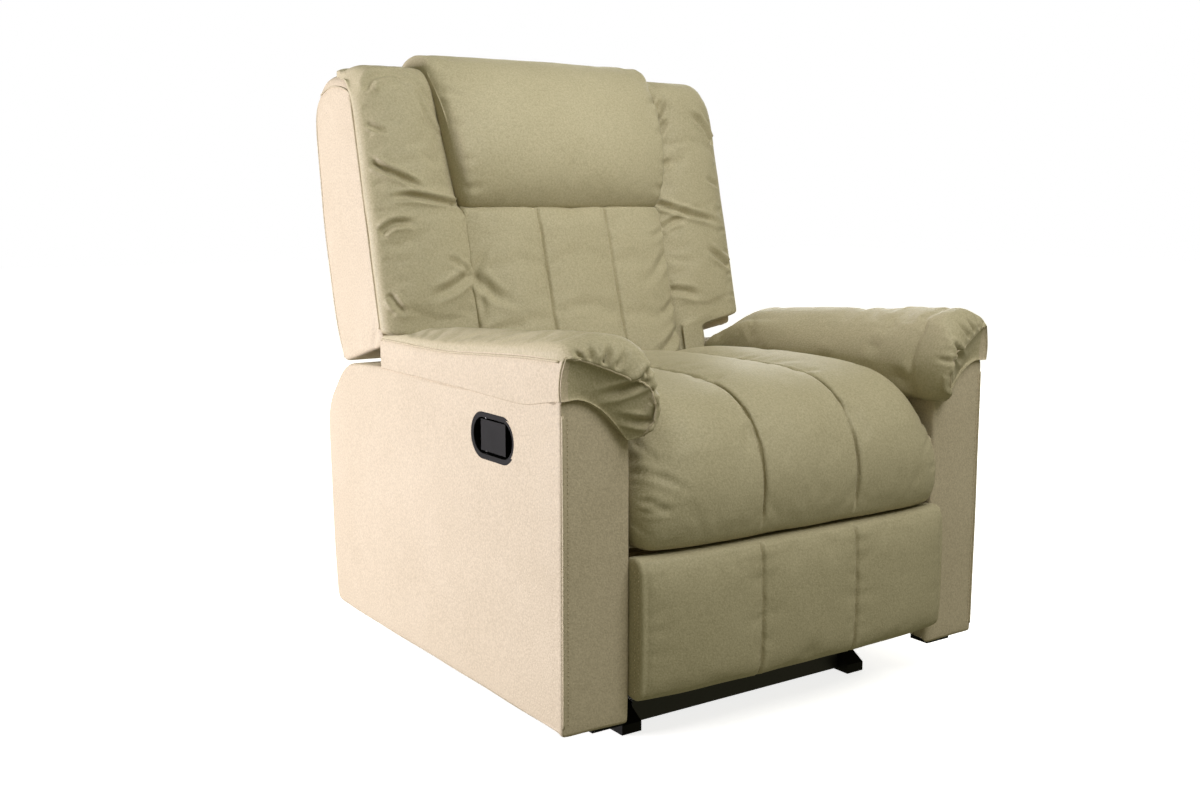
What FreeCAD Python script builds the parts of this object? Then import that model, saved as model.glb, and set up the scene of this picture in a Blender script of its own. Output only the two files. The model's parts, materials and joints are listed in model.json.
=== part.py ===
import FreeCAD, Part
import math
import os

os.makedirs("parts", exist_ok=True)

# Recliner armchair. Millimetres, +Z up, origin on the floor under the middle
# of the chair. The sitter looks along -Y, so +X is the sitter's left.
# Every left-hand piece is made on +X, and the right-hand one is its mirror.

# ---- driving dimensions ----------------------------------------------------

ARM_OUT = 396.0            # outer face of an arm
ARM_IN = 288.0             # inner face of an arm
ARM_FRONT = -383.0
ARM_BOTTOM = 65.0
ARM_TOP = 489.0
BOARD = 12.0               # covered outer boards
LINER = 8.0                # covered inner boards
PAD_REAR = 132.0
PAD_NOSE = -434.0

RAIL_IN, RAIL_OUT = 205.0, 239.0
RAIL_FRONT, RAIL_REAR = -255.0, 290.0
RAIL_LOW, RAIL_TOP = 4.0, 38.0
WALL = 2.0

SEAT_HALF = 284.0
SEAT_BOTTOM = 293.0
SEAT_CROWN = 502.0
SEAT_FRONT = -421.0
SEAT_REAR = 80.0
SEAT_TRAVEL = 45.0

BACK_HALF = 365.0
BACK_SLOPE = 0.18275       # rearward rise of the back's rear face
BACK_PIVOT = (170.0, 215.0)

REST_HALF = 283.0
REST_LOW, REST_HIGH = 92.0, 288.0

# Steel layers from the middle of the chair outwards, as |x| ranges.
PLATE = (239.0, 242.0)     # fixed side plate on the base
LAYER_1 = (244.0, 247.0)   # ottoman link, latch hook, release lever
LAYER_2 = (248.0, 251.0)   # drive link, footrest bracket
LAYER_3 = (252.0, 255.0)   # front link
LAYER_4 = (256.0, 259.0)   # rear link
CARRIER = (260.0, 263.0)   # seat plate that slides on the side plate

# Pivots of the footrest linkage, as (y, z), with the footrest stored.
A1 = (-291.68, 250.00)     # rear link on the seat plate
A2 = (-226.58, 261.98)     # drive link on the seat plate
B = (-185.93, 91.27)       # rear link to front link
C = (-346.00, 194.81)      # front link to footrest
D = (-121.10, 103.30)      # drive link to front link, an open pivot
E = (-108.62, 130.18)      # drive link to ottoman link
F = (-322.00, 225.00)      # ottoman link to footrest, an open pivot
M = (-198.90, 220.40)      # drive tube on the drive links

PIN = 4.0                  # rivet radius
RUN = 0.05                 # running clearance on the radius
LOOSE = 1.3                # clearance on the radius at the open pivots
LINK_WIDTH = 20.0
HUB = 11.0

GUIDE_PIN = 5.0
GUIDES = ((-60.0, 240.0), (110.0, 240.0))
HOOK = (-95.0, 200.0)      # latch hook pivot on the seat plate
LEVER = (-10.0, 208.0)     # release lever pivot on the side plate

HANDLE_Y, HANDLE_Z = -214.0, 435.0
HANDLE_LONG, HANDLE_TALL = 121.0, 66.0
PADDLE_PIN_Y = -181.0

CABLE = 2.5                # radius of the release cable's sheath
CABLE_ROUTE = (
    (-375.0, -155.0, 435.0), (-375.0, -110.0, 435.0), (-366.0, -58.0, 415.0),
    (-351.0, -16.0, 376.0), (-337.0, 20.0, 328.0), (-326.0, 52.0, 276.0),
    (-318.0, 84.0, 226.0), (-308.0, 108.0, 182.0), (-286.0, 122.0, 152.0),
    (-258.0, 114.0, 150.0), (-245.5, 88.0, 160.0), (-245.5, 50.0, 160.0),
)


# ---- helpers ----------------------------------------------------------------

def vec(x, y, z):
    return FreeCAD.Vector(x, y, z)


def box(x0, x1, y0, y1, z0, z1):
    return Part.makeBox(x1 - x0, y1 - y0, z1 - z0, vec(x0, y0, z0))


def closed_face(points):
    return Part.Face(Part.makePolygon(points + points[:1]))


def side_profile(x0, x1, outline):
    """A board whose outline is drawn in Y-Z and whose thickness runs along X."""
    face = closed_face([vec(x0, y, z) for y, z in outline])
    return face.extrude(vec(x1 - x0, 0, 0))


def front_profile(y0, y1, outline):
    """A solid whose outline is drawn in X-Z and whose length runs along Y."""
    face = closed_face([vec(x, y0, z) for x, z in outline])
    return face.extrude(vec(0, y1 - y0, 0))


def rod(x0, x1, centre, radius):
    """A round bar along X."""
    return Part.makeCylinder(radius, x1 - x0, vec(x0, centre[0], centre[1]), vec(1, 0, 0))


def strip(layer, start, end, width=LINK_WIDTH):
    """A flat bar with round ends between two pivots."""
    x0, x1 = layer
    dy, dz = end[0] - start[0], end[1] - start[1]
    length = math.hypot(dy, dz)
    ny, nz = -dz / length * width / 2, dy / length * width / 2
    bar = side_profile(x0, x1, [
        (start[0] + ny, start[1] + nz), (end[0] + ny, end[1] + nz),
        (end[0] - ny, end[1] - nz), (start[0] - ny, start[1] - nz),
    ])
    for point in (start, end):
        bar = bar.fuse(rod(x0, x1, point, width / 2))
    return bar.removeSplitter()


def hole(shape, layer, centre, radius):
    return shape.cut(rod(layer[0] - 1, layer[1] + 1, centre, radius))


def pivot_pin(layer_a, layer_b, centre):
    """A rivet through two links, with a spacer collar in the gap between them."""
    inner, outer = sorted((layer_a, layer_b))
    pin = rod(inner[0], outer[1], centre, PIN)
    collar = rod(inner[1] + 0.1, outer[0] - 0.1, centre, PIN + 3)
    return pin.fuse(collar).removeSplitter()


def mirrored(shape):
    return shape.mirror(vec(0, 0, 0), vec(1, 0, 0))


def save(name, *solids):
    shape = solids[0] if len(solids) == 1 else Part.makeCompound(list(solids))
    shape.exportStep("parts/" + name + ".step")


def save_sides(name, shape):
    """One node for each side of the chair."""
    save(name + "_left", shape)
    save(name + "_right", mirrored(shape))


def save_pair(name, *solids):
    """One node that holds the pieces of both sides."""
    save(name, *solids, *[mirrored(solid) for solid in solids])


def rounded_path(points):
    """Straight runs joined by arcs that are as large as the runs allow."""
    points = [vec(*point) for point in points]
    edges = []
    here = points[0]
    for before, corner, after in zip(points, points[1:], points[2:]):
        into = (corner - before).normalize()
        out = (after - corner).normalize()
        turn = into.getAngle(out)
        trim = 0.45 * min((corner - before).Length, (after - corner).Length)
        radius = trim / math.tan(turn / 2)
        print("cable arc radius", round(radius, 1))
        arc_start = corner - into * trim
        arc_end = corner + out * trim
        bisector = (out - into).normalize()
        middle = corner + bisector * (radius / math.cos(turn / 2) - radius)
        edges.append(Part.LineSegment(here, arc_start).toShape())
        edges.append(Part.Arc(arc_start, middle, arc_end).toShape())
        here = arc_end
    edges.append(Part.LineSegment(here, points[-1]).toShape())
    return Part.Wire(edges)


def sinuous_wire(start, length, pitch, swing, radius, place):
    """A zigzag spring wire. place turns (along, across) into a point."""
    half_turns = int(length / pitch)
    edges = []
    for index in range(half_turns):
        side = 1 if index % 2 == 0 else -1
        here = start + index * pitch
        there = here + pitch
        low = place(here, -side * swing)
        high = place(here, side * swing)
        crest = place(here + pitch / 2, side * (swing + pitch / 2))
        edges.append(Part.LineSegment(low, high).toShape())
        if index < half_turns - 1:
            edges.append(Part.Arc(high, crest, place(there, side * swing)).toShape())
    path = Part.Wire(edges)
    first = path.Edges[0]
    section = Part.Wire(Part.makeCircle(radius, first.valueAt(first.FirstParameter),
                                        first.tangentAt(first.FirstParameter)))
    return path.makePipeShell([section], True, False)


# ---- base -------------------------------------------------------------------

def base_rails():
    outer = box(RAIL_IN, RAIL_OUT, RAIL_FRONT, RAIL_REAR, RAIL_LOW, RAIL_TOP)
    inner = box(RAIL_IN + WALL, RAIL_OUT - WALL, RAIL_FRONT - 1, RAIL_REAR + 1,
                RAIL_LOW + WALL, RAIL_TOP - WALL)
    save_pair("base_rails", outer.cut(inner))


def base_cross_tubes():
    tubes = []
    for y0, y1 in ((-274, -244), (236, 266)):
        outer = box(-RAIL_IN, RAIL_IN, y0, y1, RAIL_LOW, RAIL_TOP)
        inner = box(-RAIL_IN - 1, RAIL_IN + 1, y0 + WALL, y1 - WALL, RAIL_LOW + WALL, RAIL_TOP - WALL)
        tubes.append(outer.cut(inner))
    save("base_cross_tubes", *tubes)


def base_feet():
    toe = side_profile(RAIL_IN, RAIL_OUT, [
        (-297, 0), (RAIL_FRONT, 0), (RAIL_FRONT, RAIL_TOP), (RAIL_FRONT - 3, RAIL_TOP), (-297, 14.5),
    ])
    heel = side_profile(RAIL_IN, RAIL_OUT, [
        (RAIL_REAR, 0), (RAIL_REAR + 14, 0), (RAIL_REAR + 14, 26), (RAIL_REAR + 6, RAIL_TOP),
        (RAIL_REAR, RAIL_TOP),
    ])
    save_pair("base_toe_caps", toe, heel)
    pads = [box(RAIL_IN + 3, RAIL_OUT - 3, y, y + 34, 0, RAIL_LOW) for y in (-248, 246)]
    save_pair("base_floor_pads", *pads)


def side_plates():
    outline = [(-130, 10), (140, 10), (140, 254), (-130, 254)]
    plate = side_profile(*PLATE, outline)
    reach = GUIDE_PIN + 1.5
    half = GUIDE_PIN + 0.3
    for y, z in GUIDES:
        plate = plate.cut(box(PLATE[0] - 1, PLATE[1] + 1, y - SEAT_TRAVEL - reach, y + reach, z - half, z + half))
    window = box(PLATE[0] - 1, PLATE[1] + 1, 64, 120, 70, 200)
    save_pair("mechanism_side_plates", plate.cut(window))


def arm_brackets():
    outline = [(239, 8), (243, 8), (243, 34), (304, 34), (304, 61), (372, 61), (372, 65),
               (300, 65), (300, 38), (239, 38)]
    brackets = [front_profile(y, y + 40, outline) for y in (-240, 200)]
    save_pair("arm_brackets", *brackets)


# ---- arms -------------------------------------------------------------------

def arm_side_outline(front_top, rear_top):
    """The arm board seen from the side, with its sloped rear corner."""
    return [
        (ARM_FRONT + BOARD, ARM_BOTTOM), (345, ARM_BOTTOM), (360, 300), (357, 416), (282, ARM_TOP),
        (PAD_REAR + 2, ARM_TOP), (PAD_REAR + 2, rear_top), (ARM_FRONT + BOARD, front_top),
    ]


def arm_boards():
    outer = side_profile(ARM_OUT - BOARD, ARM_OUT, arm_side_outline(ARM_TOP - 0.5, ARM_TOP - 0.5))
    handle_hole = stadium(ARM_OUT - BOARD - 1, ARM_OUT + 1, HANDLE_LONG - 10, HANDLE_TALL - 10)
    save("arm_outer_panel_left", outer)
    save("arm_outer_panel_right", mirrored(outer.cut(handle_hole)))

    inner = side_profile(ARM_IN, ARM_IN + LINER, arm_side_outline(439, 440.5))
    cable_hole = rod(ARM_IN - 1, ARM_IN + LINER + 1, (118, 160), 20)
    save("arm_inner_panels", inner, mirrored(inner.cut(cable_hole)))

    front = front_profile(ARM_FRONT, ARM_FRONT + BOARD, [
        (ARM_IN, ARM_BOTTOM), (ARM_OUT, ARM_BOTTOM), (ARM_OUT, ARM_TOP - 0.5), (332, ARM_TOP - 0.5),
        (297, 446), (ARM_IN, 440),
    ])
    save_pair("arm_front_panels", front)

    outside = [(345, ARM_BOTTOM), (360, 300), (357, 416), (282, ARM_TOP), (PAD_REAR + 2, ARM_TOP)]
    inside = [(PAD_REAR + 2, ARM_TOP - 6), (279, ARM_TOP - 6), (351, 413), (354, 300), (339, ARM_BOTTOM)]
    rear = side_profile(ARM_IN + LINER, ARM_OUT - BOARD, outside + inside)
    save_pair("arm_rear_panels", rear)


def arm_frames():
    x0, x1 = ARM_IN + LINER, ARM_OUT - BOARD
    y0 = ARM_FRONT + BOARD
    save_pair("arm_posts", box(x0, x1, y0, y0 + 22, 87, 438), box(x0, x1, 316, 338, 87, 400))
    save_pair("arm_bottom_boards", box(x0, x1, y0, 338, ARM_BOTTOM, 87))
    save_pair("arm_top_boards", box(334, x1, y0, PAD_REAR, ARM_TOP - 22, ARM_TOP))
    save_pair("arm_front_glides", box(296, 346, ARM_FRONT + 3, ARM_FRONT + 38, ARM_BOTTOM - 8, ARM_BOTTOM))


def arm_pad_section(y, crown, shrink):
    """The pad's outline across the arm; shrink draws it in towards its middle."""
    under = ARM_TOP
    outline = [
        (ARM_OUT + 2, under), (332, under), (297, 447), (ARM_IN, 441.5), (275, 452), (266, 486),
        (270, 526), (292, crown - 16), (328, crown), (366, crown - 2), (390, crown - 24), (ARM_OUT + 2, 526),
    ]
    middle_x, middle_z = 336.0, 512.0
    points = [vec(middle_x + (x - middle_x) * shrink, y, middle_z + (z - middle_z) * shrink)
              for x, z in outline]
    return Part.makePolygon(points + points[:1])


def arm_pads():
    sections = [arm_pad_section(PAD_REAR, 556, 1.0), arm_pad_section(ARM_FRONT - 17, 590, 1.0),
                arm_pad_section(PAD_NOSE, 586, 0.72)]
    save_sides("arm_pad", Part.makeLoft(sections, True, True))


# ---- release handle ---------------------------------------------------------

def stadium(x0, x1, length, height):
    """A long round-ended block at the handle's place, drawn on +X."""
    half = length / 2 - height / 2
    body = box(x0, x1, HANDLE_Y - half, HANDLE_Y + half, HANDLE_Z - height / 2, HANDLE_Z + height / 2)
    for y in (HANDLE_Y - half, HANDLE_Y + half):
        body = body.fuse(rod(x0, x1, (y, HANDLE_Z), height / 2))
    return body.removeSplitter()


def handle_cup():
    flange = stadium(ARM_OUT, ARM_OUT + 2, HANDLE_LONG, HANDLE_TALL)
    shell = stadium(ARM_OUT - 30, ARM_OUT + 1, HANDLE_LONG - 10.4, HANDLE_TALL - 10.4)
    hollow = stadium(ARM_OUT - 28, ARM_OUT + 3, HANDLE_LONG - 15, HANDLE_TALL - 15)
    boss = box(ARM_OUT - 27, ARM_OUT - 15, -170, -155, HANDLE_Z - 6, HANDLE_Z + 6)
    cup = flange.fuse(shell).fuse(boss).cut(hollow).removeSplitter()
    save("release_handle_cup", mirrored(cup))


def upright(x, y, z0, z1, radius):
    return Part.makeCylinder(radius, z1 - z0, vec(x, y, z0), vec(0, 0, 1))


def handle_paddle():
    pin_x = ARM_OUT - 8
    low, high = HANDLE_Z - 23.5, HANDLE_Z + 23.5
    plate = box(ARM_OUT - 5, ARM_OUT - 1, HANDLE_Y - 30, PADDLE_PIN_Y + 4, low + 1.5, high - 1.5)
    lip = box(ARM_OUT - 15, ARM_OUT - 1, HANDLE_Y - 30, HANDLE_Y - 26.5, low + 1.5, high - 1.5)
    barrel = upright(pin_x, PADDLE_PIN_Y, low + 1.5, high - 1.5, 5.5)
    paddle = plate.fuse(lip).fuse(barrel)
    paddle = paddle.cut(upright(pin_x, PADDLE_PIN_Y, low - 2, high + 2, 2.0 + RUN))
    middle_notch = box(ARM_OUT - 16, ARM_OUT - 4.2, PADDLE_PIN_Y - 8, PADDLE_PIN_Y + 8,
                       HANDLE_Z - 8, HANDLE_Z + 8)
    save("release_handle", mirrored(paddle.cut(middle_notch)))
    save("handle_pin", mirrored(upright(pin_x, PADDLE_PIN_Y, HANDLE_Z - 25.5, HANDLE_Z + 25.5, 2.0)))
    helix = Part.makeHelix(2.0, 12.0, 2.9)
    helix.translate(vec(pin_x, PADDLE_PIN_Y, HANDLE_Z - 6))
    start = helix.Edges[0]
    ring = Part.Wire(Part.makeCircle(0.5, start.valueAt(start.FirstParameter),
                                     start.tangentAt(start.FirstParameter)))
    coil = helix.makePipeShell([ring], True, True)
    save("handle_return_spring", mirrored(coil))


def release_cable():
    path = rounded_path(CABLE_ROUTE)
    start = vec(*CABLE_ROUTE[0])
    circle = Part.Wire(Part.makeCircle(CABLE, start, vec(0, 1, 0)))
    cable = path.makePipeShell([circle], True, False)
    print("cable length", round(path.Length, 1), "volume ratio",
          round(cable.Volume / (math.pi * CABLE ** 2 * path.Length), 4))
    save("release_cable", cable)
    save("cable_clip", mirrored(box(PLATE[1], 249, 38, 50, 152, 168)))


def release_lever():
    """Bell crank on the right side plate: the cable turns it, and its tip
    presses down the tail of the latch hook."""
    tip = (LEVER[0] - 42, LEVER[1] + 3)
    foot = (LEVER[0] + 5, LEVER[1] - 40)
    lever = strip(LAYER_1, LEVER, tip, 8).fuse(strip(LAYER_1, LEVER, foot, 10))
    lever = hole(lever.fuse(rod(*LAYER_1, LEVER, 9)), LAYER_1, LEVER, 3.5 + RUN)
    save("release_lever", mirrored(hole(lever, LAYER_1, foot, 1.5).removeSplitter()))
    pin = rod(PLATE[1], LAYER_1[1] + 0.5, LEVER, 3.5)
    head = rod(LAYER_1[1] + 0.5, LAYER_1[1] + 2, LEVER, 6)
    save("lever_pin", mirrored(pin.fuse(head).removeSplitter()))


def latch_hook():
    """Its tooth sits over the front of the drive tube while the footrest is stored."""
    hook = side_profile(*LAYER_1, [
        (-88, 191), (-148, 219), (-186, 229.2), (-207.7, 229.2), (-207.7, 225.6), (-216, 223),
        (-216, 240), (-150, 236), (-96, 213),
    ])
    hook = hook.fuse(rod(*LAYER_1, HOOK, HUB)).fuse(strip(LAYER_1, HOOK, (-53, 199), 8))
    hook = hole(hook, LAYER_1, HOOK, PIN + RUN)
    save("latch_hook", mirrored(hook.removeSplitter()))


# ---- seat -------------------------------------------------------------------

def seat_plates():
    plate = side_profile(*CARRIER, [
        (-306, 236), (-304, 264), (-244, 276), (-208, 276), (-190, 254), (188, 254), (190, 205),
        (180, 198), (160, 198), (150, 205), (150, 226), (-76, 226), (-82, 188), (-108, 188), (-114, 226),
    ])
    plate = hole(plate, CARRIER, BACK_PIVOT, 6 + RUN)
    for centre in (A1, A2, HOOK):
        plate = hole(plate, CARRIER, centre, PIN)
    for centre in GUIDES:
        plate = hole(plate, CARRIER, centre, GUIDE_PIN)
    save_pair("seat_plates", plate)


def seat_pins():
    guides = []
    for centre in GUIDES:
        stem = rod(238.5, CARRIER[1], centre, GUIDE_PIN)
        head = rod(235, 238.5, centre, GUIDE_PIN + 3.5)
        guides.append(stem.fuse(head).removeSplitter())
    save_pair("seat_guide_pins", *guides)
    rear = rod(LAYER_4[0], CARRIER[1], A1, PIN)
    drive = rod(LAYER_2[0], CARRIER[1], A2, PIN)
    latch = rod(LAYER_1[0], CARRIER[1], HOOK, PIN)
    save_pair("linkage_seat_pins", rear, drive, latch)


def seat_frame():
    save_pair("seat_side_rails", box(CARRIER[1], 281, -352, 80, 256, 284))
    front = box(-CARRIER[1], CARRIER[1], -352, -330, 264, 284)
    rear = box(-CARRIER[1], CARRIER[1], 58, 80, 260, 284)
    save("seat_cross_rails", front, rear)
    wires = []
    for column in range(5):
        x = -200 + column * 100
        wires.append(sinuous_wire(-344, 418, 22, 14, 1.7,
                                  lambda along, across, x=x: vec(x + across, along, 286)))
    save("seat_springs", *wires)


def seat_cushion():
    across = front_profile(SEAT_FRONT, SEAT_REAR, [
        (-SEAT_HALF, SEAT_BOTTOM), (SEAT_HALF, SEAT_BOTTOM), (SEAT_HALF, 434), (262, 450), (248, 484),
        (215, SEAT_CROWN), (-215, SEAT_CROWN), (-248, 484), (-262, 450), (-SEAT_HALF, 434),
    ])
    along = side_profile(-SEAT_HALF, SEAT_HALF, [
        (-400, SEAT_BOTTOM), (SEAT_REAR, SEAT_BOTTOM), (SEAT_REAR, SEAT_CROWN), (-320, SEAT_CROWN + 1),
        (-375, 490), (-405, 455), (SEAT_FRONT, 400), (SEAT_FRONT, 330),
    ])
    save("seat_cushion", across.common(along))


# ---- back -------------------------------------------------------------------

def rear_face(z):
    """How far back the rear face of the back stands at a height."""
    return 345 + BACK_SLOPE * (z - 477)


def stile_middle(z):
    return 254 + 0.25 * (z - 514)


def back_frame():
    low, high = 262, 930
    stile = side_profile(219, 243, [
        (stile_middle(low) - 14, low), (stile_middle(low) + 14, low),
        (stile_middle(high) + 14, high), (stile_middle(high) - 14, high),
    ])
    save_pair("back_stiles", stile)

    hub = rod(243, 246, BACK_PIVOT, 17)
    arm = side_profile(243, 246, [
        (156, 205), (184, 206), (stile_middle(420) + 12, 420), (stile_middle(420) - 12, 420),
    ])
    bracket = hole(hub.fuse(arm).removeSplitter(), (243, 246), BACK_PIVOT, 6)
    save_pair("back_brackets", bracket)
    stem = rod(243, CARRIER[1], BACK_PIVOT, 6)
    head = rod(246, 258, BACK_PIVOT, 9)
    save_pair("back_pivot_pins", stem.fuse(head).removeSplitter())

    save("back_top_rail", box(-353, 353, 332, rear_face(931) - BOARD, 931, 953))
    save("back_bottom_rail", box(-280, 280, 212, rear_face(262) - BOARD, 262, 284))
    straps = []
    for index in range(5):
        z = 440 + index * 100
        y = stile_middle(z) - 14
        straps.append(side_profile(-243, 243, [
            (y - 8.5, z - 25), (y - 6.5, z - 25), (y + 6, z + 25), (y + 4, z + 25),
        ]))
    save("back_webbing", *straps)


def back_boards():
    upper = side_profile(-353, 353, [
        (rear_face(480) - BOARD, 480), (rear_face(480), 480), (rear_face(964), 964),
        (rear_face(964) - BOARD, 964),
    ])
    lower = side_profile(-280, 280, [
        (rear_face(200) - BOARD, 200), (rear_face(200), 200), (rear_face(490), 490),
        (rear_face(490) - BOARD, 490),
    ])
    save("back_outer_panel", upper.fuse(lower).removeSplitter())
    side = side_profile(353, BACK_HALF, [(345, 477), (rear_face(964), 964), (302, 950), (204, 551)])
    save_pair("back_side_panels", side)
    under = side_profile(285, 353, [(204, 551), (204, 543), (333, 474), (333, 482)])
    save_pair("back_wing_boards", under)


def back_split(gap):
    """The slanted line between the middle of the back and its bolsters."""
    return [(-205 + gap, 400), (205 - gap, 400), (205 - gap, 735), (233 - gap, 1004),
            (-233 + gap, 1004), (-205 + gap, 735)]


def back_cushions():
    pillow = side_profile(-240, 240, [
        (280, 738), (215, 738), (186, 760), (180, 800), (200, 860), (238, 930), (283, 980),
        (325, 1000), (375, 1002), (408, 990), (416, 956), (327, 956), (322, 925),
    ])
    middle = front_profile(100, 450, back_split(0.5))
    save("head_pillow", pillow.common(middle))

    lumbar = side_profile(-204.5, 204.5, [
        (104, 425), (112, 462), (166, 640), (196, 735), (270, 735), (190, 425),
    ])
    save("lumbar_cushion", lumbar)

    bolster = side_profile(200, 351, [
        (166, 555), (264, 945), (296, 976), (345, 976), (352, 956), (327, 956), (324, 900), (244, 555),
    ])
    foot = side_profile(200, 282, [(145, 462), (166, 555), (244, 555), (213, 462)])
    bolster = bolster.fuse(foot).removeSplitter()
    bolster = bolster.cut(front_profile(100, 450, back_split(-1.5)))
    save_sides("back_bolster", bolster)


def rear_apron():
    save("rear_apron", box(-ARM_IN, ARM_IN, 325, 337, ARM_BOTTOM, 190))


# ---- footrest ---------------------------------------------------------------

def footrest_links():
    rear = strip(LAYER_4, A1, B)
    rear = hole(hole(rear, LAYER_4, A1, PIN + RUN), LAYER_4, B, PIN)
    save_pair("rear_links", rear)
    save_pair("rear_link_pins", pivot_pin(LAYER_3, LAYER_4, B))

    front = strip(LAYER_3, C, B).fuse(strip(LAYER_3, B, D)).removeSplitter()
    front = hole(hole(front, LAYER_3, C, PIN), LAYER_3, B, PIN + RUN)
    save_pair("front_links", hole(front, LAYER_3, D, PIN + LOOSE))
    save_pair("front_link_pins", pivot_pin(LAYER_2, LAYER_3, C))

    drive = strip(LAYER_2, A2, D).fuse(strip(LAYER_2, D, E)).removeSplitter()
    drive = hole(drive, LAYER_2, A2, PIN + RUN)
    for centre in (D, E):
        drive = hole(drive, LAYER_2, centre, PIN)
    save_pair("drive_links", drive)
    save_pair("drive_link_pins", pivot_pin(LAYER_2, LAYER_3, D), pivot_pin(LAYER_1, LAYER_2, E))
    tube = rod(-LAYER_2[0], LAYER_2[0], M, 8).cut(rod(-LAYER_2[0], LAYER_2[0], M, 6.5))
    save("drive_tube", tube)

    ottoman = strip(LAYER_1, E, F, 18)
    ottoman = hole(hole(ottoman, LAYER_1, E, PIN + RUN), LAYER_1, F, PIN)
    save_pair("ottoman_links", ottoman)
    save_pair("ottoman_link_pins", pivot_pin(LAYER_1, LAYER_2, F))


def footrest():
    flange = box(222, LAYER_2[1], -375, -372, 125, 250)
    plate = side_profile(*LAYER_2, [
        (-375, 150), (-350, 181), (-330, 200), (-309, 222), (-312, 238), (-330, 240), (-375, 250),
    ])
    bracket = flange.fuse(plate).removeSplitter()
    bracket = hole(hole(bracket, LAYER_2, C, PIN + RUN), LAYER_2, F, PIN + LOOSE)
    save_pair("footrest_brackets", bracket)
    save("footrest_board", box(-270, 270, -395, -375, 100, 282))
    cushion = side_profile(-REST_HALF, REST_HALF, [
        (-395, REST_LOW), (-395, REST_HIGH), (-413, REST_HIGH - 2), (-425, REST_HIGH - 18),
        (-425, REST_LOW + 18), (-413, REST_LOW + 2),
    ])
    save("footrest_cushion", cushion)


def main():
    base_rails()
    base_cross_tubes()
    base_feet()
    side_plates()
    arm_brackets()
    arm_boards()
    arm_frames()
    arm_pads()
    rear_apron()
    handle_cup()
    handle_paddle()
    release_cable()
    release_lever()
    latch_hook()
    seat_plates()
    seat_pins()
    seat_frame()
    seat_cushion()
    back_frame()
    back_boards()
    back_cushions()
    footrest_links()
    footrest()


main()
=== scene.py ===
import json
import math

import bmesh
import bpy
import numpy as np
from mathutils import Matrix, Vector


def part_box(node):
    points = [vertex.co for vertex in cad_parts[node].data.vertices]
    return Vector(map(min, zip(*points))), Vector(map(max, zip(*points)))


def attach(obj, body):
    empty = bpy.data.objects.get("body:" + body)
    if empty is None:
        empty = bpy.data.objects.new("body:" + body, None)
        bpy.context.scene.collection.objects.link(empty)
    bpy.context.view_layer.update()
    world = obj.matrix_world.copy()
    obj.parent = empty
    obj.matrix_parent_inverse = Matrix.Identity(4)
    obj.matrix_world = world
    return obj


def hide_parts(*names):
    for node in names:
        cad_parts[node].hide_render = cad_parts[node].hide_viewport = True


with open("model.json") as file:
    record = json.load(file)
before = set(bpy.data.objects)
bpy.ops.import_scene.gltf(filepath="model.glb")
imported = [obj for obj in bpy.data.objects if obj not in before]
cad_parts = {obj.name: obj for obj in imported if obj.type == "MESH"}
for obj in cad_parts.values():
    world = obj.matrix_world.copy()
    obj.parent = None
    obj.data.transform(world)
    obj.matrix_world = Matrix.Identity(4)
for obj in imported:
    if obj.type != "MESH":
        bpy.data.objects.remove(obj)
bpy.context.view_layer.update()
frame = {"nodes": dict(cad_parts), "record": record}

SIDES = {"left": 1.0, "right": -1.0}      # the sitter's left is +X
PIECES_TO_INFLATE = []                    # listed by inflate_later, run by inflate_all

# ---- places read from the frame ---------------------------------------------

ARM_LOW, ARM_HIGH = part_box("arm_outer_panel_left")
ARM_WIDTH = 0.108
ARM_OUT = ARM_HIGH.x
ARM_IN = ARM_OUT - ARM_WIDTH
ARM_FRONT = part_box("arm_front_panels")[0].y
ARM_BOTTOM = ARM_LOW.z
ARM_TOP = ARM_HIGH.z
PAD_LOW, PAD_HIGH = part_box("arm_pad_left")
PAD_REAR = PAD_HIGH.y + 0.015
PAD_NOSE = PAD_LOW.y
SEAT_LOW, SEAT_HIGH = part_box("seat_cushion")
REST_LOW, REST_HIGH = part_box("footrest_cushion")
CUP_LOW, CUP_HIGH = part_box("release_handle_cup")
APRON_LOW, APRON_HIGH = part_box("rear_apron")
SKIRT_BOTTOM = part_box("back_outer_panel")[0].z
SHELL_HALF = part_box("back_side_panels")[1].x
LUMBAR_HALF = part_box("lumbar_cushion")[1].x
SEAT_HALF = SEAT_HIGH.x + 0.001
REST_HALF = REST_HIGH.x + 0.0055

# ---- sizes of the covers ----------------------------------------------------

SEAT_SEAM = 0.089          # channel seams, each side of the middle
REST_SEAM = 0.090
LUMBAR_SEAM = 0.070
PILLOW_SEAM = 0.738        # height of the seam under the head pillow
PILLOW_LEAN = 0.028        # how far the pillow's sides lean out above that seam
PILLOW_RUN = 0.26          # over this height
WING_FOOT = 0.522          # height of the lower front corner of the back's sides
WING_TOP = 0.942
BOLSTER_LOW, BOLSTER_HIGH = 0.458, 0.976
BAND_RUN = 0.52            # length over which the arm pad's band grows
CURL = 0.930               # share of the arm pad's length where it starts to curl down to the nose seam


# ---- small geometry tools ---------------------------------------------------

def smooth_step(low, high, value):
    t = np.clip((np.asarray(value, float) - low) / (high - low), 0, 1)
    return t * t * (3 - 2 * t)


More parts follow.
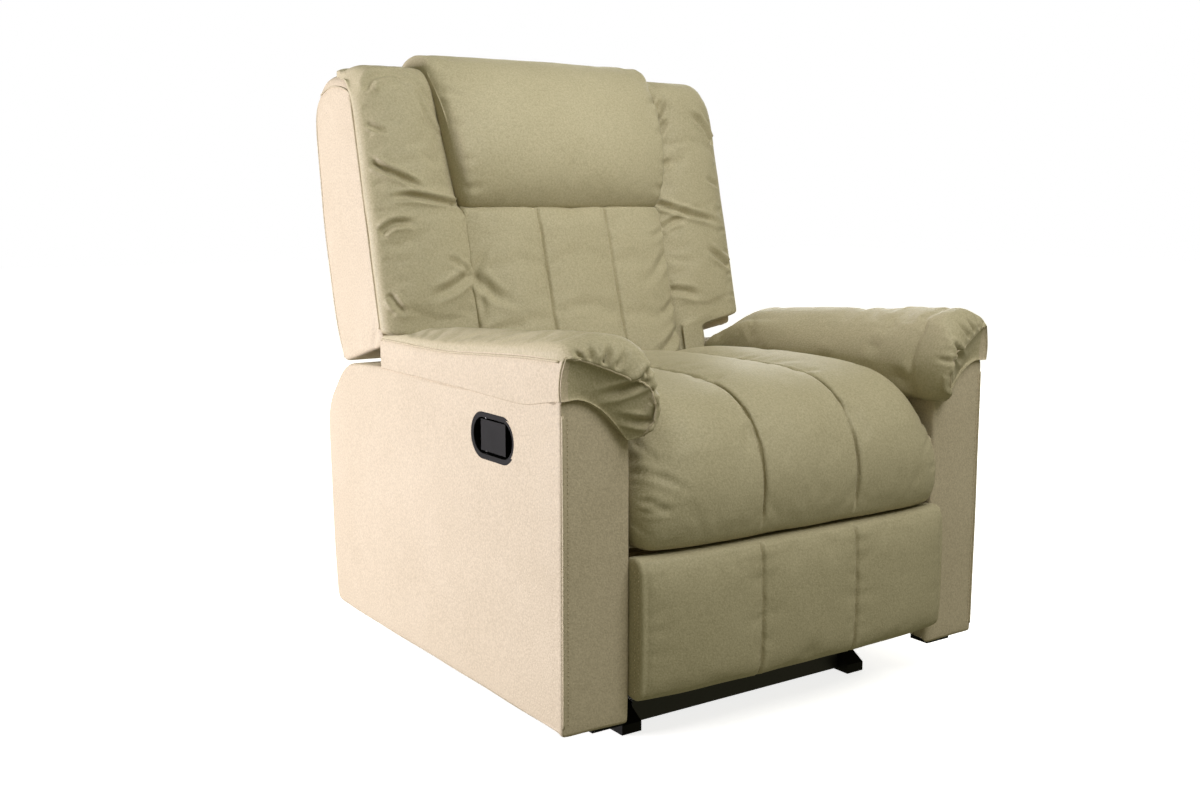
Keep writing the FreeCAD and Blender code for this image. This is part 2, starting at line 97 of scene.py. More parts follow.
def spline(points, count):
    """count + 1 evenly spaced points on a smooth curve through the points."""
    pts = np.array(points, float)
    ends = np.vstack([2 * pts[0] - pts[1], pts, 2 * pts[-1] - pts[-2]])
    t = np.linspace(0, 1, 12, endpoint=False)[:, None]
    dense = []
    for a, b, c, d in zip(ends, ends[1:], ends[2:], ends[3:]):
        dense.append(0.5 * (2 * b + (c - a) * t + (2 * a - 5 * b + 4 * c - d) * t ** 2
                            + (3 * b - a - 3 * c + d) * t ** 3))
    dense = np.vstack(dense + [pts[-1:]])
    lengths = np.r_[0, np.cumsum(np.linalg.norm(np.diff(dense, axis=0), axis=1))]
    even = np.linspace(0, lengths[-1], count + 1)
    return np.column_stack([np.interp(even, lengths, dense[:, k]) for k in range(dense.shape[1])])


def outline(sides, counts):
    """A closed outline from four smooth sides that meet at its corners."""
    parts = [spline(side, counts[index % 2])[:-1] for index, side in enumerate(sides)]
    return np.vstack(parts)


def stations(low, high, step, marks=()):
    """Evenly spaced places from low to high that also hit each mark."""
    stops = sorted({low, high, *marks})
    places = [low]
    for start, end in zip(stops, stops[1:]):
        parts = max(1, round((end - start) / step))
        places += list(np.linspace(start, end, parts + 1)[1:])
    return np.array(places)


def seam_marks(seam):
    """Extra stations close to a pair of seams, so that they can be pressed in sharply."""
    return [side * seam + step for side in (-1, 1) for step in (-0.0055, -0.0022, 0.0, 0.0022, 0.0055)]


def end_inset(place, low, high, radius):
    """How far a rounded end pulls the outline in at a place along the piece."""
    near = min(place - low, high - place)
    if near >= radius:
        return 0.0
    return radius - math.sqrt(max(0.0, radius ** 2 - (radius - near) ** 2))


def at_x(x, ring):
    """Stands a (y, z) outline up at x."""
    return np.column_stack([np.full(len(ring), x), ring])


def shrunk(ring, inset):
    """The outline drawn in by a distance, about its own middle."""
    middle = (ring.min(0) + ring.max(0)) / 2
    half = (ring.max(0) - ring.min(0)) / 2
    return middle + (ring - middle) * (1 - np.minimum(inset / half, 0.9))


def coons(ring, counts):
    """The points of a patch stretched over a closed ring, as a grid."""
    na, nb = counts
    near = ring[0:na + 1]
    right = ring[na:na + nb + 1]
    far = ring[na + nb:2 * na + nb + 1][::-1]
    left = np.vstack([ring[2 * na + nb:], ring[:1]])[::-1]
    u = np.linspace(0, 1, na + 1)[:, None, None]
    v = np.linspace(0, 1, nb + 1)[None, :, None]
    ruled = (1 - v) * near[:, None] + v * far[:, None] + (1 - u) * left[None] + u * right[None]
    corners = ((1 - u) * (1 - v) * near[0] + u * (1 - v) * near[-1]
               + (1 - u) * v * far[0] + u * v * far[-1])
    return ruled - corners


def strip(rows, around):
    """The quads of a skin over rings of points."""
    faces = []
    for i in range(rows - 1):
        for k in range(around):
            k2 = (k + 1) % around
            faces.append((i * around + k, i * around + k2, (i + 1) * around + k2, (i + 1) * around + k))
    return faces


def loft(name, rings, counts, bulge=(0.0, 0.0)):
    """A closed quad skin over rings of equal length, with a patch on each end.
    bulge is how far the first and the last patch stand out along the loft."""
    rings = np.array(rings, float)
    rows, around = rings.shape[:2]
    na, nb = counts
    points = [rings.reshape(-1, 3)]
    faces = strip(rows, around)
    total = rows * around
    for row, direction, height in ((0, -1, bulge[0]), (rows - 1, 1, bulge[1])):
        grid = coons(rings[row], counts)
        out = rings[row].mean(0) - rings[row - direction].mean(0)
        out /= max(np.linalg.norm(out), 1e-9)
        u = np.linspace(0, 1, na + 1)[:, None]
        v = np.linspace(0, 1, nb + 1)[None, :]
        dome = (16 * u * (1 - u) * v * (1 - v)) ** 0.6 * height
        grid = grid + dome[..., None] * out
        index = np.zeros((na + 1, nb + 1), int)
        for a in range(na + 1):
            for b in range(nb + 1):
                if b == 0:
                    index[a, b] = row * around + a
                elif a == na:
                    index[a, b] = row * around + na + b
                elif b == nb:
                    index[a, b] = row * around + na + nb + (na - a)
                elif a == 0:
                    index[a, b] = row * around + 2 * na + nb + (nb - b)
                else:
                    index[a, b] = total
                    total += 1
        points.append(grid[1:-1, 1:-1].reshape(-1, 3))
        for a in range(na):
            for b in range(nb):
                faces.append((index[a, b], index[a + 1, b], index[a + 1, b + 1], index[a, b + 1]))
    return mesh_piece(name, np.vstack(points), faces)


def add_object(name, data):
    thing = bpy.data.objects.new(name, data)
    bpy.context.scene.collection.objects.link(thing)
    return thing


def smooth_shading(mesh):
    for face in mesh.polygons:
        face.use_smooth = True


def mesh_piece(name, points, faces):
    """A piece with its doubled points joined and its faces turned outward."""
    mesh = bpy.data.meshes.new(name)
    mesh.from_pydata([tuple(p) for p in points], [], [tuple(int(i) for i in f) for f in faces])
    bm = bmesh.new()
    bm.from_mesh(mesh)
    bmesh.ops.remove_doubles(bm, verts=bm.verts, dist=1e-6)
    bmesh.ops.recalc_face_normals(bm, faces=bm.faces)
    bm.to_mesh(mesh)
    bm.free()
    smooth_shading(mesh)
    return add_object(name, mesh)


def coordinates(mesh):
    co = np.empty(len(mesh.vertices) * 3)
    mesh.vertices.foreach_get("co", co)
    return co.reshape(-1, 3)


def normals(mesh):
    out = np.empty(len(mesh.vertices) * 3)
    mesh.vertices.foreach_get("normal", out)
    return out.reshape(-1, 3)


def set_coordinates(mesh, co):
    mesh.vertices.foreach_set("co", np.asarray(co, float).ravel())
    mesh.update()


def push(piece, amount):
    """Moves each vertex along its normal. amount(points, normals) gives how far."""
    mesh = piece.data
    co, out = coordinates(mesh), normals(mesh)
    set_coordinates(mesh, co + out * amount(co, out)[:, None])


def finer(piece):
    """Applies one level of subdivision surface to a piece."""
    modifier = piece.modifiers.new("smooth", "SUBSURF")
    modifier.levels = modifier.render_levels = 1
    apply_modifiers(piece)


def apply_modifiers(piece):
    graph = bpy.context.evaluated_depsgraph_get()
    mesh = bpy.data.meshes.new_from_object(piece.evaluated_get(graph))
    piece.modifiers.clear()
    piece.data = mesh
    smooth_shading(mesh)


def valley(distance, width, swell=0.15):
    """The profile of a sunk line: a soft V with a slight swell beside it."""
    d = np.abs(distance) / width
    return -np.exp(-d ** 1.2) + swell * np.exp(-((d - 2.2) / 0.9) ** 2)


def on_surface(piece, points, lift=0.0):
    """The nearest places on a piece to the points, lifted along its normals."""
    found = []
    for point in points:
        hit, place, normal, _ = piece.closest_point_on_mesh(Vector(point))
        found.append(tuple(place + normal * lift) if hit else tuple(point))
    return np.array(found)


def from_front(piece, points, lift=0.0):
    """The places on a piece that are seen straight from the front at each (x, z)."""
    found = []
    for x, z in points:
        hit, place, normal, _ = piece.ray_cast(Vector((x, -1.0, z)), Vector((0, 1, 0)))
        if hit:
            found.append(tuple(place + normal * lift))
    return np.array(found)


def fold(piece, places, depth, width, fade=(0.0, 0.75), swell=0.45):
    """Presses a fold along a curve on a piece. fade gives how much of the curve,
    from each end, the fold takes to reach its full depth."""
    if len(places) < 2:
        return
    curve = spline(places, 60)
    steps = np.linspace(0, 1, len(curve))
    strength = np.ones(len(curve))
    if fade[0] > 0:
        strength *= smooth_step(-0.02, fade[0], steps)
    if fade[1] > 0:
        strength *= smooth_step(-0.02, fade[1], 1 - steps)

    def amount(co, out):
        result = np.zeros(len(co))
        low, high = curve.min(0) - 4 * width, curve.max(0) + 4 * width
        near = np.nonzero(((co > low) & (co < high)).all(1))[0]
        if len(near) == 0:
            return result
        gaps = np.linalg.norm(co[near][:, None] - curve[None], axis=2)
        nearest = gaps.argmin(1)
        distance = gaps[np.arange(len(near)), nearest]
        past_end = ((nearest == 0) | (nearest == len(curve) - 1)) & (distance > width * 0.7)
        share = np.where(past_end, np.exp(-((distance - width * 0.7) / width) ** 2), 1.0)
        result[near] = valley(distance, width, swell) * depth * strength[nearest] * share
        return result

    push(piece, amount)


def ripple(piece, size, depth, seed):
    """A gentle unevenness of padding under leather, made from fixed sine waves."""
    rng = np.random.RandomState(seed)
    waves = [(rng.normal(size=3), rng.uniform(0, 2 * math.pi)) for _ in range(9)]

    def amount(co, out):
        total = np.zeros(len(co))
        for direction, phase in waves:
            direction = direction / np.linalg.norm(direction)
            total += np.sin(co @ direction * (2 * math.pi / size) + phase)
        return total / 9 * depth

    push(piece, amount)


def inflate_later(piece, held, pressure, cap, slack):
    """Lists a piece for the shared cloth run. held(points) marks its seams, cap
    limits how far a point moves, and slack is how much longer the cloth is cut."""
    PIECES_TO_INFLATE.append((piece, held, pressure, cap, slack))


def inflate_all(frames=14):
    """Runs the cloth of every listed piece at once, and applies the result."""
    rests = []
    for piece, held, pressure, _, slack in PIECES_TO_INFLATE:
        co = coordinates(piece.data)
        rests.append(co)
        group = piece.vertex_groups.new(name="seams")
        group.add([int(i) for i in np.nonzero(held(co))[0]], 1.0, "REPLACE")
        cloth = piece.modifiers.new("cloth", "CLOTH")
        settings = cloth.settings
        settings.quality = 5
        settings.mass = 0.25
        settings.tension_stiffness = settings.compression_stiffness = 12
        settings.shear_stiffness = 6
        settings.bending_stiffness = 0.6
        settings.use_pressure = True
        settings.uniform_pressure_force = pressure
        settings.vertex_group_mass = "seams"
        settings.shrink_min = settings.shrink_max = -slack
        settings.effector_weights.gravity = 0
        cloth.point_cache.frame_start = 1
        cloth.point_cache.frame_end = frames
    scene = bpy.context.scene
    for number in range(1, frames + 1):
        scene.frame_set(number)
    graph = bpy.context.evaluated_depsgraph_get()
    for (piece, _, _, cap, _), rest in zip(PIECES_TO_INFLATE, rests):
        mesh = bpy.data.meshes.new_from_object(piece.evaluated_get(graph))
        move = coordinates(mesh) - rest
        bpy.data.meshes.remove(mesh)
        size = np.maximum(np.linalg.norm(move, axis=1), 1e-12)
        move *= (cap * np.tanh(size / cap) / size)[:, None]
        piece.modifiers.clear()
        piece.vertex_groups.clear()
        set_coordinates(piece.data, rest + move)
    scene.frame_set(1)


def tube(name, path, radius, sides=8):
    """A round cord that follows a path."""
    path = np.array(path, float)
    along = np.gradient(path, axis=0)
    along /= np.maximum(np.linalg.norm(along, axis=1), 1e-9)[:, None]
    up = np.array([0.31, 0.17, 0.93])
    across = np.cross(along, up)
    across /= np.maximum(np.linalg.norm(across, axis=1), 1e-9)[:, None]
    third = np.cross(along, across)
    angles = np.linspace(0, 2 * math.pi, sides, endpoint=False)
    rings = path[:, None] + radius * (np.cos(angles)[None, :, None] * across[:, None]
                                      + np.sin(angles)[None, :, None] * third[:, None])
    rows = len(path)
    faces = strip(rows, sides)
    faces.append(tuple(range(sides)))
    faces.append(tuple((rows - 1) * sides + k for k in range(sides)))
    return mesh_piece(name, rings.reshape(-1, 3), faces)


def stitches(name, path, out, pitch=0.0055, length=0.0038, width=0.0011):
    """A row of thread stitches along a path, on a face that points out."""
    path = np.array(path, float)
    steps = np.r_[0, np.cumsum(np.linalg.norm(np.diff(path, axis=0), axis=1))]
    count = int(steps[-1] / pitch)
    points, faces = [], []
    for index in range(count):
        centre_at = (index + 0.5) * pitch
        ends = [np.array([np.interp(centre_at + s * length / 2, steps, path[:, k]) for k in range(3)])
                for s in (-1, 1)]
        middle = (ends[0] + ends[1]) / 2
        along = ends[1] - ends[0]
        across = np.cross(along, out)
        across = across / max(np.linalg.norm(across), 1e-9) * width / 2
        base = len(points)
        points += [ends[0], middle + across + out * 0.0003, middle - across + out * 0.0003,
                   ends[1], middle + out * 0.0009]
        faces += [(base, base + 1, base + 4), (base + 1, base + 3, base + 4),
                  (base + 3, base + 2, base + 4), (base + 2, base, base + 4),
                  (base, base + 2, base + 3), (base, base + 3, base + 1)]
    return mesh_piece(name, points, faces)


def rectangle(left, right, bottom, top, counts, sag=0.0, rise=0.0):
    """A rectangle's outline. Its lower edge sags and its upper edge rises in the middle."""
    low_left, low_right = (left, bottom), (right, bottom)
    high_left, high_right = (left, top), (right, top)
    return outline([
        [low_left, (0, bottom - sag), low_right],
        [low_right, high_right],
        [high_right, (0, top + rise), high_left],
        [high_left, low_left],
    ], counts)


def panel(name, edge, counts, face, layers, bulge=(0.0, 0.0)):
    """A thin flat piece that faces the front and the rear. face(z) is the y of its front
    face, and layers give how far behind it each outline lies and how far it is drawn in."""
    rings = []
    for depth, inset in layers:
        flat = shrunk(edge, inset)
        y = np.full(len(flat), depth) + face(flat[:, 1])
        rings.append(np.column_stack([flat[:, 0], y, flat[:, 1]]))
    return loft(name, rings, counts, bulge)


# ---- materials --------------------------------------------------------------

def new_material(name):
    """A material's tree, its shader and the place on the object that it is drawn at."""
    material = bpy.data.materials.new(name)
    material.use_nodes = True
    tree = material.node_tree
    place = tree.nodes.new("ShaderNodeTexCoord").outputs["Object"]
    return material, tree, tree.nodes["Principled BSDF"], place


def set_inputs(tree, node, values):
    """Links each input of a node to a socket, or sets it to a plain value."""
    for key, value in values.items():
        socket = node.inputs[key]
        if isinstance(value, bpy.types.NodeSocket):
            tree.links.new(value, socket)
        else:
            socket.default_value = value


def new_node(tree, kind, **values):
    node = tree.nodes.new("ShaderNode" + kind)
    set_inputs(tree, node, values)
    return node


def noise(tree, place, scale, detail, roughness=0.55):
    node = new_node(tree, "TexNoise", Vector=place, Scale=scale, Detail=detail, Roughness=roughness)
    return node.outputs["Fac"]


def ramp(tree, source, low, first, high, second):
    """Blends from the first color to the second while the source goes from low to high."""
    node = new_node(tree, "ValToRGB", Fac=source)
    elements = node.color_ramp.elements
    for element, position, color in zip(elements, (low, high), (first, second)):
        element.position = position
        element.color = (*color, 1)
    return node.outputs["Color"]


def shade(color, factor):
    return [c * factor for c in color]


def grey(value):
    return (value,) * 3


def bump(tree, height, distance, strength, **below):
    node = new_node(tree, "Bump", Height=height, Distance=distance, Strength=strength, **below)
    return node.outputs["Normal"]


def leather(name, light, dark, roughness=0.56):
    """Bonded leather: pebbled grain, faint stretch lines and a mottled dye."""
    material, tree, shader, place = new_material(name)
    mottle = noise(tree, place, 9, 5)
    blotch = noise(tree, place, 70, 4, 0.7)
    grain = noise(tree, place, 330, 3, 0.75)
    mix = tree.nodes.new("ShaderNodeMix")
    mix.data_type = "RGBA"
    mix.inputs["Factor"].default_value = 0.55
    tree.links.new(ramp(tree, mottle, 0.30, dark, 0.68, light), mix.inputs[6])
    tree.links.new(ramp(tree, grain, 0.36, shade(dark, 0.80), 0.64, shade(light, 1.12)), mix.inputs[7])
    pebble = new_node(tree, "TexVoronoi", Vector=place, Scale=430)
    pebble.feature = "SMOOTH_F1"
    fine = bump(tree, pebble.outputs["Distance"], 0.0006, 0.45)
    stretch = noise(tree, place, 55, 6, 0.6)
    set_inputs(tree, shader, {
        "Base Color": mix.outputs[2],
        "Roughness": ramp(tree, blotch, 0.3, grey(roughness + 0.10), 0.7, grey(roughness - 0.06)),
        "Normal": bump(tree, stretch, 0.0012, 0.30, Normal=fine),
        "Specular IOR Level": 0.24,
        "Sheen Weight": 0.04,
    })
    return material


def moulded_plastic(name, color, roughness):
    """Dull plastic with a fine grain."""
    material, tree, shader, place = new_material(name)
    grain = noise(tree, place, 900, 2)
    cloud = noise(tree, place, 14, 3)
    set_inputs(tree, shader, {
        "Base Color": ramp(tree, cloud, 0.3, shade(color, 0.8), 0.7, shade(color, 1.25)),
        "Roughness": ramp(tree, cloud, 0.3, grey(roughness - 0.05), 0.7, grey(roughness + 0.08)),
        "Normal": bump(tree, grain, 0.0002, 0.4),
        "Specular IOR Level": 0.14,
    })
    return material


def coated_metal(name, color, roughness, metallic):
    """Painted or plated steel with fine flecks."""
    material, tree, shader, place = new_material(name)
    flecks = noise(tree, place, 260, 3)
    cloud = noise(tree, place, 20, 4)
    set_inputs(tree, shader, {
        "Base Color": ramp(tree, cloud, 0.3, shade(color, 0.82), 0.7, shade(color, 1.12)),
        "Roughness": ramp(tree, flecks, 0.35, grey(roughness - 0.08), 0.7, grey(roughness + 0.12)),
        "Normal": bump(tree, flecks, 0.0001, 0.25),
        "Metallic": metallic,
    })
    return material


def timber(name, light, dark):
    """Plywood with its grain drawn out along Z."""
    material, tree, shader, place = new_material(name)
    stretch = new_node(tree, "Mapping", Vector=place, Scale=(14, 14, 2.2))
    grain = noise(tree, stretch.outputs["Vector"], 6, 7, 0.65)
    set_inputs(tree, shader, {
        "Base Color": ramp(tree, grain, 0.35, dark, 0.62, light),
        "Roughness": 0.62,
        "Normal": bump(tree, grain, 0.0006, 0.4),
    })
    return material


def woven(name, color, scale=420):
    """Cloth or thread with a plain weave."""
    material, tree, shader, place = new_material(name)
    weave = new_node(tree, "TexChecker", Vector=place, Scale=scale,
                     Color1=(*shade(color, 0.7), 1), Color2=(*shade(color, 1.3), 1))
    set_inputs(tree, shader, {
        "Base Color": weave.outputs["Color"],
        "Roughness": 0.85,
        "Normal": bump(tree, weave.outputs["Fac"], 0.0003, 0.5),
    })
    return material


CREAM_LIGHT, CREAM_DARK = (0.470, 0.424, 0.292), (0.410, 0.366, 0.240)
LEATHER_PAD = leather("cream_leather_padded", CREAM_LIGHT, CREAM_DARK)
LEATHER_BOARD = leather("cream_leather_tight", (0.560, 0.488, 0.368), (0.490, 0.422, 0.308), 0.58)
WELT = leather("cream_welt", (0.53, 0.465, 0.335), (0.45, 0.395, 0.275), 0.42)
THREAD = woven("cream_thread", (0.60, 0.52, 0.36), 900)
BLACK_STEEL = coated_metal("black_powder_coat", (0.012, 0.012, 0.013), 0.42, 0.0)
ZINC = coated_metal("zinc_plate", (0.27, 0.27, 0.265), 0.42, 1.0)
BRIGHT_STEEL = coated_metal("bright_steel", (0.36, 0.355, 0.35), 0.34, 1.0)
BLACK_PLASTIC = moulded_plastic("black_plastic", (0.004, 0.004, 0.004), 0.55)
PLYWOOD = timber("plywood", (0.56, 0.42, 0.26), (0.42, 0.29, 0.16))
WEBBING = woven("black_webbing", (0.05, 0.05, 0.05))
# black dust cloth whose black also stands in as painted shade seen through the gap beside the footrest
DUST_CLOTH_AND_SHADE = woven("black_dust_cloth_and_painted_shade", (0.022, 0.022, 0.023), 700)

SLOT_MATERIALS = {
    "black_steel": BLACK_STEEL, "zinc_steel": ZINC, "bare_steel": BRIGHT_STEEL,
    "black_plastic": BLACK_PLASTIC, "timber": PLYWOOD, "webbing": WEBBING,
    "cover_board": LEATHER_BOARD, "cover_pad": LEATHER_PAD,
}


def paint_frame():
    """Gives every CAD node the material of its slot."""
    for part in frame["record"]["subparts"]:
        node = frame["nodes"][part["node"]]
        material = SLOT_MATERIALS[part["material_slot"]]
        if not node.material_slots:
            node.data.materials.append(material)
        for slot in node.material_slots:
            slot.material = material


def dress(piece, material, body, slot, *nodes):
    """Sets a piece's material, the body that it rides on and the nodes it replaces."""
    piece.data.materials.clear()
    piece.data.materials.append(material)
    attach(piece, body)
    if nodes:
        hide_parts(*nodes)
    return piece


def cushion(piece, body, *nodes, fill=0.8):
    dress(piece, LEATHER_PAD, body, "cover_pad", *nodes)
    return piece


def trim(piece, body, material=WELT):
    return dress(piece, material, body, "cover_pad")


# ---- seat cushion -----------------------------------------------------------

def seat_ring(x, counts):
    half = SEAT_HALF
    fall = 0.062 * float(smooth_step(0.70 * half, half, abs(x))) ** 1.25
    corner = 0.022 * (abs(x) / half) ** 6
    front, rear = SEAT_LOW.y + corner, SEAT_HIGH.y
    low, crown = SEAT_LOW.z, SEAT_HIGH.z + 0.001 - fall
    tall = crown - low
    ring = outline([
        [(rear - 0.004, low + 0.012), (rear - 0.03, low + 0.001), (-0.10, low), (front + 0.06, low),
         (front + 0.013, low + 0.002)],
        [(front + 0.013, low + 0.002), (front + 0.003, low + 0.08 * tall), (front - 0.001, low + 0.26 * tall),
         (front + 0.001, low + 0.45 * tall), (front + 0.013, low + 0.64 * tall)],
        [(front + 0.013, low + 0.64 * tall), (front + 0.038, low + 0.81 * tall),
         (front + 0.080, low + 0.93 * tall), (front + 0.14, low + 0.985 * tall), (front + 0.24, crown),
         (rear - 0.10, crown - 0.004), (rear - 0.03, crown - 0.012), (rear - 0.008, crown - 0.030)],
        [(rear - 0.008, crown - 0.030), (rear - 0.001, crown - 0.06), (rear, low + 0.06),
         (rear - 0.004, low + 0.012)],
    ], counts)
    ring = shrunk(ring, end_inset(x, -half, half, 0.025))
    return at_x(x, ring)


def seat_cushion():
    counts = (46, 20)
    half = SEAT_HALF
    marks = seam_marks(SEAT_SEAM) + [-half + 0.006, half - 0.006, -half + 0.014, half - 0.014]
    rings = [seat_ring(x, counts) for x in stations(-half, half, 0.0085, marks)]
    piece = loft("seat_cushion_cover", rings, counts, (0.003, 0.003))

    def held(co):
        seam = np.abs(np.abs(co[:, 0]) - SEAT_SEAM) < 0.0015
        under = co[:, 2] < SEAT_LOW.z + 0.02
        side = np.abs(co[:, 0]) > half - 0.003
        rear = co[:, 1] > SEAT_HIGH.y - 0.012
        return seam | under | side | rear

    inflate_later(piece, held, pressure=3.0, cap=0.009, slack=0.015)
    return piece


def finish_seat(piece):
    finer(piece)
    half = SEAT_HALF

    def channels(co, out):
        shown = smooth_step(SEAT_LOW.z + 0.01, SEAT_LOW.z + 0.04, co[:, 2])
        where = np.abs(co[:, 0])
        crown = np.where(where < SEAT_SEAM, np.cos(co[:, 0] / SEAT_SEAM * math.pi / 2),
                         np.sin(np.clip((where - SEAT_SEAM) / (half - SEAT_SEAM), 0, 1) * math.pi))
        return (valley(where - SEAT_SEAM, 0.0028) * 0.0062 + 0.0035 * crown) * shown

    push(piece, channels)
    ripple(piece, 0.11, 0.0016, 3)
    for z, reach, drop, depth in ((0.452, 0.026, 0.040, 0.0055), (0.415, 0.046, -0.004, 0.0045),
                                  (0.402, 0.062, 0.030, 0.0060), (0.366, 0.034, 0.024, 0.0040),
                                  (0.352, 0.048, -0.006, 0.0025)):
        for side, share in ((-1, 1.0), (1, 0.55)):
            x = side * (half - 0.010)
            bend = (x - side * reach * 0.5, z - drop * 0.35)
            places = from_front(piece, [(x, z), bend, (x - side * reach, z - drop)])
            fold(piece, places, depth * share * 0.8, 0.0040)
    for x, lean in ((-SEAT_SEAM, 0.012), (SEAT_SEAM, -0.010)):
        for y, z in ((-0.405, 0.46), (-0.30, 0.502), (-0.16, 0.503)):
            for pull in ([(x + 0.003, y, z), (x + 0.035, y + lean, z)],
                         [(x - 0.003, y + 0.03, z), (x - 0.032, y + 0.03 - lean, z)]):
                fold(piece, on_surface(piece, pull), 0.0020, 0.006)
    edge = [(half - 0.004, y, z) for y, z in spline(
        [(-0.392, 0.320), (-0.400, 0.350), (-0.397, 0.385), (-0.380, 0.412), (-0.345, 0.430),
         (-0.28, 0.438), (-0.12, 0.440), (0.04, 0.436)], 90)]
    trim(tube("seat_side_welt", on_surface(piece, edge, 0.0008), 0.0020), "seat")
    cushion(piece, "seat", "seat_cushion")


# ---- footrest ---------------------------------------------------------------

def rest_ring(x, counts):
    half = REST_HALF
    low, high = REST_LOW.z, REST_HIGH.z + 0.003
    rear = REST_HIGH.y + 0.0202
    swell = 1 - (abs(x) / half) ** 4
    front = -0.4115 - 0.0135 * swell
    ring = outline([
        [(rear, low + 0.004), ((rear + front) / 2, low + 0.001), (front + 0.012, low + 0.003)],
        [(front + 0.012, low + 0.003), (front + 0.002, low + 0.016), (front - 0.001, (low + high) / 2),
         (front + 0.002, high - 0.016), (front + 0.012, high - 0.003)],
        [(front + 0.012, high - 0.003), ((rear + front) / 2, high - 0.001), (rear, high - 0.004)],
        [(rear, high - 0.004), (rear, (low + high) / 2), (rear, low + 0.004)],
    ], counts)
    ring = shrunk(ring, end_inset(x, -half, half, 0.0045))
    return at_x(x, ring)


def footrest_cushion():
    counts = (8, 26)
    half = REST_HALF
    marks = seam_marks(REST_SEAM)
    for inset in (0.002, 0.005, 0.009):
        marks += [inset - half, half - inset]
    rings = [rest_ring(x, counts) for x in stations(-half, half, 0.0085, marks)]
    piece = loft("footrest_cover", rings, counts)

    def held(co):
        seam = np.abs(np.abs(co[:, 0]) - REST_SEAM) < 0.001
        back = co[:, 1] > -0.398
        side = np.abs(co[:, 0]) > half - 0.006
        edge = (co[:, 2] < REST_LOW.z + 0.006) | (co[:, 2] > REST_HIGH.z - 0.006)
        return seam | back | side | edge

    inflate_later(piece, held, pressure=2.0, cap=0.006, slack=0.012)
    return piece


def finish_footrest(piece):
    finer(piece)
    half = REST_HALF

    def channels(co, out):
        gap = np.abs(np.abs(co[:, 0]) - REST_SEAM)
        facing = smooth_step(0.2, 0.6, -out[:, 1])
        edge = half - 0.008 - np.abs(co[:, 0])
        boxing = np.minimum(np.abs(co[:, 2] - REST_LOW.z - 0.008), np.abs(co[:, 2] - REST_HIGH.z + 0.008))
        return (valley(gap, 0.0026) * 0.0050 + valley(edge, 0.0026) * 0.0020
                + valley(boxing, 0.0030) * 0.0010) * facing

    push(piece, channels)
    ripple(piece, 0.10, 0.0008, 8)
    for x in (-REST_SEAM, REST_SEAM):
        for z, reach in ((0.262, 0.03), (0.205, 0.022), (0.15, 0.028)):
            fold(piece, from_front(piece, [(x + 0.003, z), (x + reach, z + 0.008)]), 0.0008, 0.006)
            fold(piece, from_front(piece, [(x - 0.003, z - 0.02), (x - reach, z - 0.03)]), 0.0008, 0.006)
    for side in (-1, 1):
        tag = "left" if side > 0 else "right"
        for row, y in enumerate((-0.404, -0.396)):
            line = [(side * half, y, z) for z in np.linspace(REST_LOW.z + 0.012, REST_HIGH.z - 0.012, 40)]
            path = on_surface(piece, line, 0.0002)
            thread = stitches("footrest_stitch_%s_%d" % (tag, row), path, np.array([side, 0, 0.0]))
            trim(thread, "footrest", THREAD)
    cushion(piece, "footrest", "footrest_cushion", fill=0.7)


def footrest_underside():
    """Black dust cloth stapled over the rear of the footrest board. Its black is also painted shade: it
    stands in for the deep shade seen through the gap beside the footrest.
    """
    low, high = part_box("footrest_board")
    counts = (10, 8)
    edge = rectangle(low.x + 0.006, high.x - 0.006, low.z + 0.004, high.z - 0.004, counts, 0.002, 0.002)
    # painted shade: a black sheet behind the footrest, so the gap beside it reads dark
    cloth = panel("footrest_dust_cloth_and_painted_shade", edge, counts, lambda z: -0.3760, ((0.0, 0.0), (0.0022, 0.0)))
    dress(cloth, DUST_CLOTH_AND_SHADE, "footrest", "webbing")


# ---- back -------------------------------------------------------------------

def wing_edge(z):
    """The front edge of the back's sides at a height."""
    return 0.204 + 0.246 * (z - 0.550)     # the sides lean back by 246 mm in a metre


def rear_face(z):
    """The flat rear of the back's frame at a height."""
    return 0.345 + 0.18275 * (z - 0.477)


def lumbar_ring(x, counts):
    half = LUMBAR_HALF
    back = (0.020 if x > 0 else 0.018) * (abs(x) / half) ** 4
    front = [(0.104, 0.428), (0.116, 0.470), (0.146, 0.560), (0.170, 0.640), (0.187, 0.700), (0.200, 0.742)]
    front = [(y + back, z) for y, z in front]
    ring = outline([
        [(0.190, 0.428), (0.155, 0.424), (0.125, 0.424), front[0]],
        front,
        [front[-1], (0.235, 0.745), (0.268, 0.736)],
        [(0.268, 0.736), (0.235, 0.600), (0.190, 0.428)],
    ], counts)
    ring = shrunk(ring, end_inset(x, -half, half, 0.014 if x > 0 else 0.004))
    return at_x(x, ring)


def lumbar_cushion():
    counts = (10, 34)
    half = LUMBAR_HALF
    marks = seam_marks(LUMBAR_SEAM) + [-half + 0.004, half - 0.004]
    rings = [lumbar_ring(x, counts) for x in stations(-half, half, 0.008, marks)]
    piece = loft("lumbar_cover", rings, counts)

    def held(co):
        seam = np.abs(np.abs(co[:, 0]) - LUMBAR_SEAM) < 0.001
        side = np.abs(co[:, 0]) > half - 0.003
        rear = co[:, 1] > wing_edge(co[:, 2]) + 0.02
        return seam | side | rear

    inflate_later(piece, held, pressure=3.0, cap=0.009, slack=0.012)
    return piece


